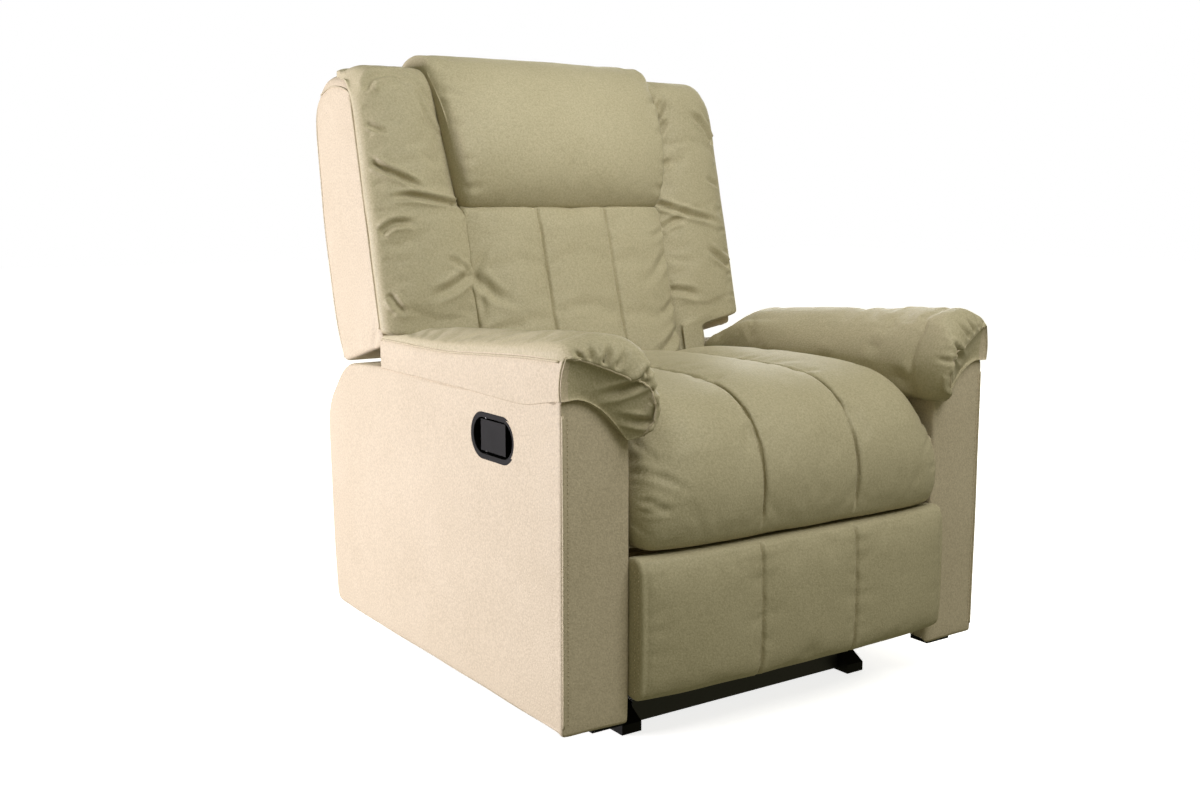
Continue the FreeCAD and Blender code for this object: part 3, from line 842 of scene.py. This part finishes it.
LUMBAR_FOLDS = (
    # places (x, z) along each fold, its depth and its width
    (((-0.200, 0.631), (-0.172, 0.598), (-0.120, 0.579)), 0.0080, 0.0070),
    (((-0.200, 0.628), (-0.196, 0.590), (-0.200, 0.550)), 0.0055, 0.0045),
    (((-0.200, 0.640), (-0.182, 0.668), (-0.170, 0.690)), 0.0040, 0.0050),
    (((-0.198, 0.530), (-0.160, 0.545), (-0.120, 0.540)), 0.0050, 0.0070),
    (((0.200, 0.518), (0.155, 0.494), (0.108, 0.474)), 0.0085, 0.0070),
    (((0.200, 0.655), (0.155, 0.622), (0.104, 0.604)), 0.0055, 0.0080),
    (((0.200, 0.570), (0.165, 0.552), (0.135, 0.548)), 0.0045, 0.0060),
    (((0.200, 0.700), (0.170, 0.690), (0.140, 0.694)), 0.0035, 0.0050),
)


def finish_lumbar(piece):
    finer(piece)

    def channels(co, out):
        gap = np.abs(np.abs(co[:, 0]) - LUMBAR_SEAM)
        facing = smooth_step(0.1, 0.6, -out[:, 1])
        return valley(gap, 0.0026) * 0.0055 * facing

    push(piece, channels)
    ripple(piece, 0.09, 0.0011, 5)
    for places, depth, width in LUMBAR_FOLDS:
        fold(piece, from_front(piece, places), depth, width)
    cushion(piece, "back", "lumbar_cushion")


def pillow_lean(z):
    """How far the pillow's sides have leaned out at a height."""
    return PILLOW_LEAN * float(np.clip((z - PILLOW_SEAM) / PILLOW_RUN, 0, 1))


def pillow_half(z):
    return 0.204 + pillow_lean(z)


def pillow_ring(u, counts):
    back = 0.016 * abs(u) ** 4
    front = [(0.224, PILLOW_SEAM), (0.203, 0.744), (0.191, 0.768), (0.188, 0.806), (0.194, 0.845),
             (0.209, 0.885), (0.233, 0.928), (0.265, 0.968)]
    front = [(y + back, z) for y, z in front]
    top = [front[-1], (0.296, 0.990), (0.330, 1.0005), (0.368, 1.0005), (0.402, 0.988), (0.424, 0.966),
           (0.424, 0.957)]
    ring = outline([
        [(0.284, 0.742), (0.255, PILLOW_SEAM), front[0]],
        front,
        top,
        [top[-1], (0.380, 0.956), (0.329, 0.954), (0.325, 0.915), (0.284, 0.742)],
    ], counts)
    ring = shrunk(ring, end_inset(u, -1, 1, 0.05) * 0.32)
    half = np.array([pillow_half(z) for z in ring[:, 1]])
    return np.column_stack([u * half, ring])


def head_pillow():
    counts = (24, 30)
    rings = [pillow_ring(u, counts) for u in stations(-1, 1, 0.036, (-0.985, 0.985))]
    piece = loft("head_pillow_cover", rings, counts, (0.004, 0.004))

    def held(co):
        side = np.abs(co[:, 0]) > np.array([pillow_half(z) for z in co[:, 2]]) - 0.004
        rear = (co[:, 1] > 0.275) & (co[:, 2] < 0.96)
        bottom = co[:, 2] < 0.744
        return side | rear | bottom

    inflate_later(piece, held, pressure=3.0, cap=0.007, slack=0.006)
    return piece


def finish_pillow(piece):
    finer(piece)
    ripple(piece, 0.16, 0.0012, 11)
    for side in (-1, 1):
        for z, run, drop, depth in ((0.775, 0.034, 0.008, 0.0030), (0.820, 0.022, 0.010, 0.0022),
                                    (0.880, 0.026, -0.010, 0.0026), (0.935, 0.036, -0.014, 0.0036)):
            x = side * (pillow_half(z) - 0.006)
            run *= side
            places = from_front(piece, [(x, z), (x - run * 0.5, z + drop * 0.3), (x - run, z + drop)])
            fold(piece, places, depth, 0.0055)
    cushion(piece, "back", "head_pillow", fill=0.9)


def bolster_inner(z):
    """The seam beside the middle of the back: straight, then leaning out past the pillow."""
    return 0.206 + pillow_lean(z)


def top_drop(x):
    """How far the top of the back falls away at its outer edges."""
    t = np.clip((np.abs(x) - (SHELL_HALF - 0.034)) / 0.034, 0, 1)
    return 0.024 * (1 - np.sqrt(np.maximum(0, 1 - t ** 2)))


def bolster_ring(t, side, counts):
    """One level outline of a bolster. t runs from its foot, 0, to its top, 1."""
    z = BOLSTER_LOW + (BOLSTER_HIGH - BOLSTER_LOW) * t
    edge = wing_edge(min(z, 0.955))
    inner = bolster_inner(z) - (0.0055 if side < 0 and z < PILLOW_SEAM else 0.0)
    outer = 0.283 + (SHELL_HALF - 0.278) * float(smooth_step(WING_FOOT, 0.544, z))
    away = max(0.0, z - (BOLSTER_HIGH - 0.046)) / 0.046
    roll = 0.052 * (1 - math.sqrt(max(0.0, 1 - away ** 2)))
    crown = edge - 0.038 + roll
    rear = edge + 0.030 + 0.050 * float(smooth_step(0.520, 0.560, z))
    middle = (inner + outer) / 2
    flush = 0.016 * float(smooth_step(0.745, 0.725, z)) if side < 0 else 0.0
    seam = edge - 0.020 - flush + roll * 0.8
    turn = edge + roll * 0.45
    corner = turn - 0.012
    ring = outline([
        [(inner, seam), (inner + 0.014, crown + 0.008 - flush * 0.4), (middle - 0.025, crown),
         (middle + 0.020, crown + 0.003), (outer - 0.030, crown + 0.005), (outer - 0.007, crown + 0.015),
         (outer, corner)],
        [(outer, corner), (outer - 0.003, turn - 0.001), (outer - 0.016, turn + 0.010)],
        [(outer - 0.016, turn + 0.010), (outer - 0.018, rear), (middle, rear + 0.004), (inner + 0.004, rear)],
        [(inner + 0.004, rear), (inner + 0.001, (seam + rear) / 2), (inner, seam)],
    ], counts)
    squeeze = end_inset(z, BOLSTER_LOW, BOLSTER_HIGH + 0.03, 0.014)
    ring = shrunk(ring, squeeze * 0.7)
    height = z - top_drop(ring[:, 0]) * float(smooth_step(0.90, BOLSTER_HIGH, z))
    return np.column_stack([side * ring[:, 0], ring[:, 1], height])


def back_bolster(tag):
    side = SIDES[tag]
    counts = (28, 12)
    marks = (0.004, 0.95, 0.97, 0.983, 0.993, 0.998)
    rings = [bolster_ring(t, side, counts) for t in stations(0, 1, 0.0105, marks)]
    piece = loft("back_bolster_cover_" + tag, rings, counts, (0.002, 0.003))

    def held(co):
        x = np.abs(co[:, 0])
        inner = x < np.array([bolster_inner(z) for z in co[:, 2]]) + 0.004
        outer = x > SHELL_HALF - 0.008
        rear = co[:, 1] > wing_edge(np.minimum(co[:, 2], 0.955)) + 0.05
        return inner | outer | rear | (co[:, 2] < 0.565)

    inflate_later(piece, held, pressure=3.0, cap=0.008, slack=0.016)
    return piece


BOLSTER_FOLDS = {
    # places (distance from the middle, z) along each fold, its depth and its width
    "right": (
        (((0.350, 0.938), (0.334, 0.956), (0.293, 0.962), (0.252, 0.936), (0.232, 0.890)), 0.0070, 0.0065),
        (((0.354, 0.814), (0.338, 0.804), (0.308, 0.790), (0.272, 0.772)), 0.0090, 0.0048),
        (((0.212, 0.747), (0.260, 0.756), (0.305, 0.762), (0.348, 0.756)), 0.0095, 0.0048),
        (((0.354, 0.705), (0.334, 0.718), (0.296, 0.719)), 0.0075, 0.0050),
        (((0.212, 0.631), (0.250, 0.613), (0.292, 0.598)), 0.0065, 0.0070),
        (((0.212, 0.640), (0.236, 0.655), (0.255, 0.660)), 0.0040, 0.0050),
        (((0.354, 0.602), (0.344, 0.584), (0.330, 0.572)), 0.0055, 0.0050),
        (((0.230, 0.862), (0.250, 0.900), (0.262, 0.925)), 0.0050, 0.0060),
        (((0.354, 0.876), (0.338, 0.868), (0.322, 0.868)), 0.0040, 0.0042),
    ),
    "left": (
        (((0.232, 0.905), (0.244, 0.932), (0.262, 0.952)), 0.0065, 0.0060),
        (((0.224, 0.868), (0.240, 0.890), (0.258, 0.905)), 0.0050, 0.0060),
        (((0.354, 0.868), (0.332, 0.898), (0.296, 0.925)), 0.0075, 0.0060),
        (((0.212, 0.748), (0.258, 0.733), (0.306, 0.722), (0.350, 0.710)), 0.0095, 0.0052),
        (((0.212, 0.705), (0.240, 0.718), (0.262, 0.720)), 0.0055, 0.0050),
        (((0.354, 0.632), (0.325, 0.650), (0.292, 0.672)), 0.0075, 0.0060),
        (((0.212, 0.590), (0.240, 0.588), (0.270, 0.578)), 0.0055, 0.0060),
        (((0.354, 0.785), (0.335, 0.790), (0.318, 0.800)), 0.0040, 0.0045),
        (((0.218, 0.815), (0.236, 0.822), (0.250, 0.832)), 0.0045, 0.0050),
    ),
}


def finish_bolster(piece, tag):
    side = SIDES[tag]
    finer(piece)
    ripple(piece, 0.085, 0.0010, 21 if tag == "left" else 22)
    for places, depth, width in BOLSTER_FOLDS[tag]:
        curve = from_front(piece, [(side * x, z) for x, z in places])
        fold(piece, curve, depth * 1.2, width * 0.9, (0.0, 0.45))
    for index, z in enumerate(np.arange(0.575, 0.93, 0.041)):
        run = (0.010, 0.016, 0.012, 0.019)[index % 4]
        lean = (0.004, -0.003, 0.006, 0.001, -0.005)[index % 5]
        places = [(side * 0.356, z), (side * (0.356 - run), z + lean)]
        fold(piece, from_front(piece, places), 0.0020, 0.0032)
    cushion(piece, "back", "back_bolster_" + tag)


def shell_rear(z):
    """The stuffed rear of the back's cover at a height."""
    return rear_face(z) + 0.006 + 0.034 * math.sin(math.pi * min(1.0, max(0.0, (z - 0.44) / 0.56))) ** 0.8


def shell_ring(x, counts):
    half = SHELL_HALF
    low = 0.477
    drop = float(top_drop(x))
    foot = (shell_rear(low) - 0.004, low + 0.004)
    front_foot = (wing_edge(WING_FOOT) + 0.003, WING_FOOT)
    front_top = (wing_edge(WING_TOP) + 0.004, WING_TOP - drop)
    rear_top = (0.432, 0.950 - drop)
    ring = outline([
        [foot, (0.320, 0.4900), (0.275, 0.502), (0.230, 0.514), front_foot],
        [front_foot, *((wing_edge(z), z) for z in (0.60, 0.75, 0.90)), front_top],
        [front_top, (0.325, 0.962 - drop), (0.370, 0.968 - drop), (0.410, 0.965 - drop), rear_top],
        [rear_top, *((shell_rear(z), z) for z in (0.90, 0.80, 0.68, 0.55)), foot],
    ], counts)
    ring = shrunk(ring, end_inset(x, -half, half, 0.007))
    return at_x(x, ring)


def back_shell():
    """The covered box of the back: its sides, rear, top and underside."""
    counts = (16, 42)
    half = SHELL_HALF
    marks = [side * (half - inset) for side in (-1, 1) for inset in (0.001, 0.003, 0.0065, 0.014, 0.024)]
    rings = [shell_ring(x, counts) for x in stations(-half, half, 0.018, marks)]
    piece = loft("back_shell_cover", rings, counts, (0.006, 0.006))
    finer(piece)
    ripple(piece, 0.15, 0.0010, 31)

    def tucks(co, out):
        side_face = smooth_step(0.6, 0.9, np.abs(out[:, 0]))
        near_front = co[:, 1] - wing_edge(co[:, 2])
        pulls = np.sin(co[:, 2] * 150 + 2 * np.sin(co[:, 2] * 40)) * np.exp(-(near_front / 0.028) ** 2)
        return side_face * (0.0011 * pulls + valley(near_front - 0.006, 0.003) * 0.0010)

    push(piece, tucks)
    dress(piece, LEATHER_BOARD, "back", "cover_board",
          "back_outer_panel", "back_side_panels", "back_wing_boards")
    for tag, side in SIDES.items():
        line = [(side * (half + 0.0005), wing_edge(z) + 0.004, z) for z in np.linspace(0.548, 0.925, 90)]
        trim(tube("back_front_welt_" + tag, line, 0.0030), "back")
        top = [(side * (half + 0.004), y, z) for y, z in spline(
            [(0.294, 0.910), (0.306, 0.930), (0.340, 0.941), (0.385, 0.944), (0.424, 0.934)], 50)]
        trim(tube("back_top_welt_" + tag, on_surface(piece, top, 0.0006), 0.0018), "back")
        rear_line = [(side * (half - 0.001), shell_rear(z) - 0.001, z) for z in np.linspace(0.484, 0.93, 60)]
        trim(tube("back_rear_welt_" + tag, on_surface(piece, rear_line, 0.0004), 0.0020), "back")
    for side in (-1, 1):
        for places, depth, width in (
                (((0.235, 0.520), (0.222, 0.560), (0.220, 0.600)), 0.0035, 0.006),
                (((0.405, 0.905), (0.385, 0.900), (0.372, 0.870)), 0.0020, 0.005)):
            pleat = [(side * (half + 0.003), y, z) for y, z in places]
            fold(piece, on_surface(piece, pleat), depth, width)


def back_skirt():
    """The covered lower panel of the back, between the arms."""
    counts = (20, 20)
    half, top, thick = 0.280, 0.50, 0.0125
    edge = rectangle(-half, half, SKIRT_BOTTOM + 0.003, top, counts, 0.003)
    layers = ((-thick, 0.003), (0.002 - thick, 0.001), (0.004 - thick, 0.0), (-0.002, 0.0), (0.0, 0.002))
    piece = panel("back_skirt_cover", edge, counts, rear_face, layers, (0.0, 0.002))
    finer(piece)
    ripple(piece, 0.12, 0.0012, 33)
    dress(piece, LEATHER_BOARD, "back", "cover_board")


# ---- arms -------------------------------------------------------------------

def arm_box(tag):
    """The covered box of an arm."""
    side = SIDES[tag]
    counts = (44, 30)
    front = ARM_FRONT
    marks = []
    for inset in (0.001, 0.003, 0.0065, 0.010):
        marks += [ARM_IN + inset, ARM_OUT - inset]
    rings = []
    for x in stations(ARM_IN, ARM_OUT, 0.012, marks):
        top = ARM_TOP - 0.030 + 0.046 * float(smooth_step(ARM_IN, ARM_IN + 0.075, x))
        ring = outline([
            [(front + 0.004, ARM_BOTTOM), (-0.1, ARM_BOTTOM), (0.2, ARM_BOTTOM), (0.341, ARM_BOTTOM + 0.002)],
            [(0.341, ARM_BOTTOM + 0.002), (0.3475, 0.10), (0.357, 0.25), (0.3605, 0.34), (0.3590, 0.392),
             (0.349, 0.420), (0.326, 0.447), (0.298, 0.474), (0.268, ARM_TOP)],
            [(0.268, ARM_TOP), (0.12, ARM_TOP + 0.008), (-0.1, ARM_TOP + 0.008), (front + 0.006, top)],
            [(front + 0.006, top), (front, top - 0.008), (front - 0.001, 0.28),
             (front, ARM_BOTTOM + 0.006), (front + 0.004, ARM_BOTTOM)],
        ], counts)
        ring = shrunk(ring, end_inset(x, ARM_IN, ARM_OUT, 0.006))
        rings.append(at_x(side * x, ring))
    piece = loft("arm_box_cover_" + tag, rings, counts, (0.001, 0.0035))
    finer(piece)
    ripple(piece, 0.17, 0.0011, 41 if tag == "left" else 42)

    def seams(co, out):
        outer = smooth_step(0.5, 0.9, side * out[:, 0])
        near_front = co[:, 1] - ARM_FRONT - 0.012
        front_face = smooth_step(0.5, 0.9, -out[:, 1])
        near_corner = ARM_OUT - 0.007 - side * co[:, 0]
        return outer * valley(near_front, 0.003) * 0.0012 + front_face * valley(near_corner, 0.003) * 0.0010

    push(piece, seams)
    if tag == "right":
        cut_handle_hole(piece)
    nodes = ["arm_outer_panel_" + tag]
    if tag == "left":
        nodes += ["arm_front_panels", "arm_inner_panels", "arm_rear_panels"]
    dress(piece, LEATHER_BOARD, "base", "cover_board", *nodes)
    heights = np.linspace(ARM_BOTTOM + 0.01, 0.487, 80)
    corner = [(side * (ARM_OUT - 0.0045), ARM_FRONT + 0.0035, z) for z in heights]
    trim(tube("arm_corner_welt_" + tag, on_surface(piece, corner, 0.0002), 0.0018), "base")
    heights = np.linspace(ARM_BOTTOM + 0.012, 0.484, 80)
    row = on_surface(piece, [(side * (ARM_OUT - 0.0105), ARM_FRONT, z) for z in heights], 0.0002)
    trim(stitches("arm_corner_stitch_" + tag, row, np.array([0, -1.0, 0])), "base", THREAD)


def cut_handle_hole(piece):
    """Opens the arm's side where the handle cup sits."""
    middle_y = (CUP_LOW.y + CUP_HIGH.y) / 2
    middle_z = (CUP_LOW.z + CUP_HIGH.z) / 2
    rim = 0.003            # the cup's rim covers the edge of the hole by this much
    radius = (CUP_HIGH.z - CUP_LOW.z) / 2 - rim
    reach = (CUP_HIGH.y - CUP_LOW.y) / 2 - rim - radius
    steps = 48
    points = []
    for x in (CUP_LOW.x - 0.004, CUP_LOW.x + 0.036):
        for turn in np.linspace(0, 2 * math.pi, steps, endpoint=False):
            y = middle_y + math.copysign(reach, math.cos(turn)) + radius * math.cos(turn)
            points.append((x, y, middle_z + radius * math.sin(turn)))
    faces = strip(2, steps)
    faces += [tuple(range(steps)), tuple(range(steps, 2 * steps))]
    cutter = mesh_piece("handle_cutter", points, faces)
    modifier = piece.modifiers.new("hole", "BOOLEAN")
    modifier.operation = "DIFFERENCE"
    modifier.solver = "EXACT"
    modifier.object = cutter
    apply_modifiers(piece)
    bpy.data.objects.remove(cutter)


def band_height(share):
    """Height of the seam above the arm pad's outer band. share is 0 at its rear and 1 at its nose."""
    return 0.540 + 0.016 * smooth_step(0.30, 0.92, share)


def pad_section(s, counts):
    """The arm pad's outline across the arm, on +X. s is 0 at its rear and 1 at its nose."""
    front = float(smooth_step(0.30, 0.92, s))
    crown = 0.551 + 0.041 * s
    under = 0.494 - 0.004 * front + 0.014 * float(smooth_step(0.80, 1.0, s))
    seam = float(band_height(s))
    lip = 0.452 - 0.006 * front
    inner = 0.268 - 0.008 * front
    out = ARM_OUT + 0.002
    return outline([
        [(out, under), (0.370, under + 0.002), (0.340, 0.488), (0.312, 0.464), (ARM_IN + 0.004, lip)],
        [(ARM_IN + 0.004, lip), (inner + 0.008, lip + 0.010), (inner, 0.482), (inner, 0.508),
         (inner + 0.007, 0.532), (inner + 0.022, crown - 0.020)],
        [(inner + 0.022, crown - 0.020), (inner + 0.042, crown - 0.006), (0.334, crown), (0.354, crown),
         (0.378, crown - 0.008), (0.392, (crown + seam) / 2 + 0.002), (out, seam)],
        [(out, seam), (out + 0.001, (seam + under) / 2), (out, under)],
    ], counts)


# the gathered seam of the nose and the foot of its front face: distance from the middle, z, y
NOSE_FOOT = ((0.398, 0.506, -0.3855), (0.371, 0.507, -0.3870), (0.345, 0.496, -0.3880),
             (0.325, 0.478, -0.3900), (0.302, 0.449, -0.3920))
NOSE_INNER = ((0.302, 0.449, -0.3920), (0.287, 0.457, -0.410), (0.280, 0.472, -0.420), (0.277, 0.490, -0.424),
              (0.279, 0.504, -0.424), (0.286, 0.519, -0.421))
NOSE_TOP = ((0.286, 0.519, -0.421), (0.299, 0.528, -0.417), (0.322, 0.538, -0.411), (0.347, 0.549, -0.404),
            (0.374, 0.559, -0.396), (0.392, 0.561, -0.389))
NOSE_OUTER = ((0.392, 0.561, -0.389), (0.397, 0.545, -0.387), (0.3995, 0.525, -0.386),
              (0.398, 0.506, -0.3855))


def arm_pad(tag):
    side = SIDES[tag]
    counts = (30, 24)
    nose = outline([NOSE_FOOT, NOSE_INNER, NOSE_TOP, NOSE_OUTER], counts)
    turns = np.linspace(0, math.pi / 2, 10)[1:]
    places = list(stations(0, CURL, 0.0125, (0.006,)))
    rings = []
    for s in places + [CURL + (1 - CURL) * math.sin(turn) for turn in turns]:
        section = pad_section(s, counts)
        rear = 0.010 - math.sqrt(max(0.0, 0.010 ** 2 - max(0.0, 0.010 - s * 0.56) ** 2))
        section = shrunk(section, rear)
        t = max(0.0, (s - CURL) / (1 - CURL))
        share = 1 - math.sqrt(max(0.0, 1 - t ** 2))
        flat = section * (1 - share) + nose[:, :2] * share
        stop = nose[:, 2] - 0.004
        y = PAD_REAR + (stop - PAD_REAR) * s
        inner = 1 - smooth_step(0.345, 0.400, flat[:, 0])
        at_rear = float(1 - smooth_step(0.0, 0.16, s))
        tuck = 0.022 * inner * (1 - smooth_step(0.480, 0.550, flat[:, 1])) * at_rear
        drop = 0.036 * inner * smooth_step(0.045, 0.185, y) * smooth_step(0.470, 0.550, flat[:, 1])
        rings.append(np.column_stack([side * flat[:, 0], y + tuck, flat[:, 1] - drop]))
    sunk = rings[-1].copy()
    sunk[:, 0] = side * (nose[:, 0] * 0.985 + 0.338 * 0.015)
    sunk[:, 2] = nose[:, 1] * 0.985 + 0.500 * 0.015
    sunk[:, 1] += 0.0035
    piece = loft("arm_pad_cover_" + tag, rings + [sunk], counts, (0.004, 0.009))

    def held(co):
        x = side * co[:, 0]
        under = co[:, 2] < 0.492
        outer = x > ARM_OUT - 0.004
        front = co[:, 1] < ARM_FRONT + 0.010
        return under & (x > 0.30) | outer | front | (co[:, 1] > PAD_REAR - 0.012)

    inflate_later(piece, held, pressure=2.5, cap=0.006, slack=0.015)
    return piece


ROLL_PLEATS = (
    # along the gathered seam: distance from the middle, z; then how far it runs out and up, and its depth
    (0.384, 0.562, 0.002, 0.020, 0.0045), (0.369, 0.558, -0.006, 0.022, 0.0040),
    (0.351, 0.551, -0.020, 0.030, 0.0060), (0.334, 0.544, -0.026, 0.024, 0.0045),
    (0.300, 0.529, -0.024, 0.016, 0.0075), (0.284, 0.512, -0.014, 0.004, 0.0035),
)


def finish_pad(piece, tag):
    side = SIDES[tag]
    finer(piece)
    ripple(piece, 0.13, 0.0011, 51 if tag == "left" else 52)

    def place(x, y, z):
        return side * x, y, z

    def band_seam(co, out):
        on_band = smooth_step(0.355, 0.385, side * co[:, 0])
        height = co[:, 2] - band_height((PAD_REAR - co[:, 1]) / BAND_RUN)
        return on_band * valley(height, 0.004) * 0.0022 * smooth_step(-0.380, -0.35, co[:, 1])

    push(piece, band_seam)
    for index, (x, z, across, rise, depth) in enumerate(ROLL_PLEATS):
        length = 1.0 if tag == "right" else (0.7, 1.25, 0.85, 1.15)[index % 4]
        start = place(x + across * 0.12, -0.424, z + rise * 0.12 + 0.003)
        middle = place(x + across * 0.5 * length, -0.418, z + rise * 0.6 * length)
        end = place(x + across * length, -0.398, z + rise * length)
        fold(piece, on_surface(piece, [start, middle, end]), depth * 1.5, 0.0034, (0.0, 0.7), 0.3)
    for places, depth, width in (
            (((0.297, -0.430, 0.527), (0.322, -0.425, 0.514), (0.360, -0.410, 0.500)), 0.0080, 0.0050),
            (((0.278, -0.430, 0.492), (0.294, -0.425, 0.474), (0.328, -0.405, 0.479)), 0.0080, 0.0045)):
        curve = on_surface(piece, [place(*p) for p in places])
        fold(piece, curve, depth, width, (0.0, 0.6))
    for y, z, run, depth in ((-0.30, 0.52, 0.05, 0.003), (-0.20, 0.49, 0.07, 0.003),
                             (-0.36, 0.475, 0.05, 0.004)):
        curve = on_surface(piece, [place(0.262, y, z), place(0.262, y + run, z + 0.012)])
        fold(piece, curve, depth, 0.009, (0.5, 0.5))
    line = []
    for y in np.linspace(PAD_REAR - 0.008, ARM_FRONT + 0.002, 110):
        share = (PAD_REAR - y) / (PAD_REAR - PAD_NOSE)
        line.append(place(ARM_OUT + 0.001, y, float(band_height(share))))
    trim(tube("arm_band_welt_" + tag, on_surface(piece, line, 0.0004), 0.0018), "base")
    seam = spline(NOSE_INNER[1:-1] + NOSE_TOP, 90)
    arc = on_surface(piece, [place(x, y - 0.001, z) for x, z, y in seam], 0.0002)
    trim(tube("arm_nose_welt_" + tag, arc, 0.0015), "base")
    edge = [place(x, y, z) for x, z, y in spline(NOSE_OUTER, 40)]
    trim(tube("arm_nose_corner_" + tag, on_surface(piece, edge, 0.0004), 0.0015), "base")
    cushion(piece, "base", "arm_pad_" + tag, fill=0.85)
    piece.data.materials.append(LEATHER_BOARD)
    for face in piece.data.polygons:
        x, y, z = face.center
        band_top = 0.001 + band_height((PAD_REAR - y) / BAND_RUN)
        if side * x > ARM_OUT - 0.010 and z < band_top:
            face.material_index = 1


# ---- rear apron -------------------------------------------------------------

def rear_apron():
    counts = (40, 8)
    low, high = APRON_LOW, APRON_HIGH
    thick = high.y - low.y
    edge = rectangle(low.x, high.x, low.z, high.z, counts)
    layers = ((0.0, 0.003), (0.003, 0.0), (thick - 0.003, 0.0), (thick, 0.003))
    piece = panel("rear_apron_cover", edge, counts, lambda z: low.y, layers, (0.001, 0.003))
    finer(piece)
    ripple(piece, 0.12, 0.0012, 61)
    dress(piece, LEATHER_BOARD, "base", "cover_board", "rear_apron")


# ---- stage ------------------------------------------------------------------

def light(name, kind, power, color, place, target):
    data = bpy.data.lights.new(name, kind)
    data.energy = power
    data.color = color
    lamp = add_object(name, data)
    lamp.location = place
    lamp.rotation_euler = (Vector(target) - Vector(place)).to_track_quat("-Z", "Y").to_euler()
    return data


def area_light(name, size, power, color, place, target):
    data = light(name, "AREA", power, color, place, target)
    data.shape = "RECTANGLE"
    data.size, data.size_y = size


def pale_floor():
    """A nearly white floor that lights nothing else."""
    size = 14.0
    mesh = bpy.data.meshes.new("floor")
    corners = [(-size, -size, 0), (size, -size, 0), (size, size, 0), (-size, size, 0)]
    mesh.from_pydata(corners, [], [(0, 1, 2, 3)])
    floor = add_object("floor", mesh)
    material, tree, shader, place = new_material("pale_floor")
    set_inputs(tree, shader, {
        "Base Color": ramp(tree, noise(tree, place, 2.0, 2), 0.3, grey(0.90), 0.7, grey(0.93)),
        "Roughness": 0.9,
        "Emission Color": (1, 1, 1, 1),
        "Emission Strength": 0.80,
    })
    mesh.materials.append(material)
    floor.visible_diffuse = False
    floor.visible_glossy = False


def studio_world():
    """White behind the chair as the camera sees it, and a dim warm fill on the chair."""
    world = bpy.data.worlds.new("studio")
    world.use_nodes = True
    tree = world.node_tree
    fill = tree.nodes["Background"]
    set_inputs(tree, fill, {"Color": (0.97, 0.94, 0.58, 1), "Strength": 0.21})
    backdrop = new_node(tree, "Background", Color=(1, 1, 1, 1))
    path = new_node(tree, "LightPath")
    mix = new_node(tree, "MixShader", Fac=path.outputs["Is Camera Ray"])
    tree.links.new(fill.outputs["Background"], mix.inputs[1])
    tree.links.new(backdrop.outputs["Background"], mix.inputs[2])
    tree.links.new(mix.outputs["Shader"], tree.nodes["World Output"].inputs["Surface"])
    bpy.context.scene.world = world


def stage():
    pale_floor()
    studio_world()
    area_light("key_side", (1.9, 1.3), 250, (0.98, 0.92, 1.0), (-3.2, 1.30, 0.25), (0.0, -0.1, 0.30))
    area_light("front_top", (1.3, 1.3), 26, (1.0, 0.985, 0.93), (0.1, -1.5, 2.0), (0.0, 0.1, 0.6))
    area_light("rear_fill", (2.6, 2.2), 75, (1.0, 0.98, 0.95), (2.6, 2.6, 1.5), (0.0, 0.0, 0.5))
    beam = light("back_beam", "SPOT", 76, (1.0, 0.99, 0.97), (-0.2, -1.4, 2.2), (0.0, 0.22, 0.92))
    beam.spot_size = math.radians(30)
    beam.spot_blend = 1.0
    beam.shadow_soft_size = 0.35
    sun = light("overhead", "SUN", 0.38, (1, 1, 1), (0, 0, 0), (0, 0, -1))
    sun.angle = math.radians(50)
    bpy.context.scene.view_settings.view_transform = "Standard"


def camera():
    """Looks at the chair from the sitter's right front, a little above the arms."""
    azimuth, elevation, distance = math.radians(-34.219), math.radians(8.573), 2.0964
    target = Vector((-0.1120, -0.0541, 0.4432))
    back = Vector((math.sin(azimuth) * math.cos(elevation), -math.cos(azimuth) * math.cos(elevation),
                   math.sin(elevation)))
    data = bpy.data.cameras.new("camera")
    data.sensor_width = 36
    data.lens = 39.824
    view = add_object("camera", data)
    view.location = target + back * distance
    view.rotation_euler = (-back).to_track_quat("-Z", "Y").to_euler()
    bpy.context.scene.camera = view


camera()
stage()
paint_frame()

seat = seat_cushion()
footrest = footrest_cushion()
lumbar = lumbar_cushion()
pillow = head_pillow()
bolsters = {tag: back_bolster(tag) for tag in SIDES}
pads = {tag: arm_pad(tag) for tag in SIDES}
inflate_all()
finish_seat(seat)
finish_footrest(footrest)
finish_lumbar(lumbar)
finish_pillow(pillow)
for tag in SIDES:
    finish_bolster(bolsters[tag], tag)
    finish_pad(pads[tag], tag)
    arm_box(tag)
footrest_underside()
back_shell()
back_skirt()
rear_apron()
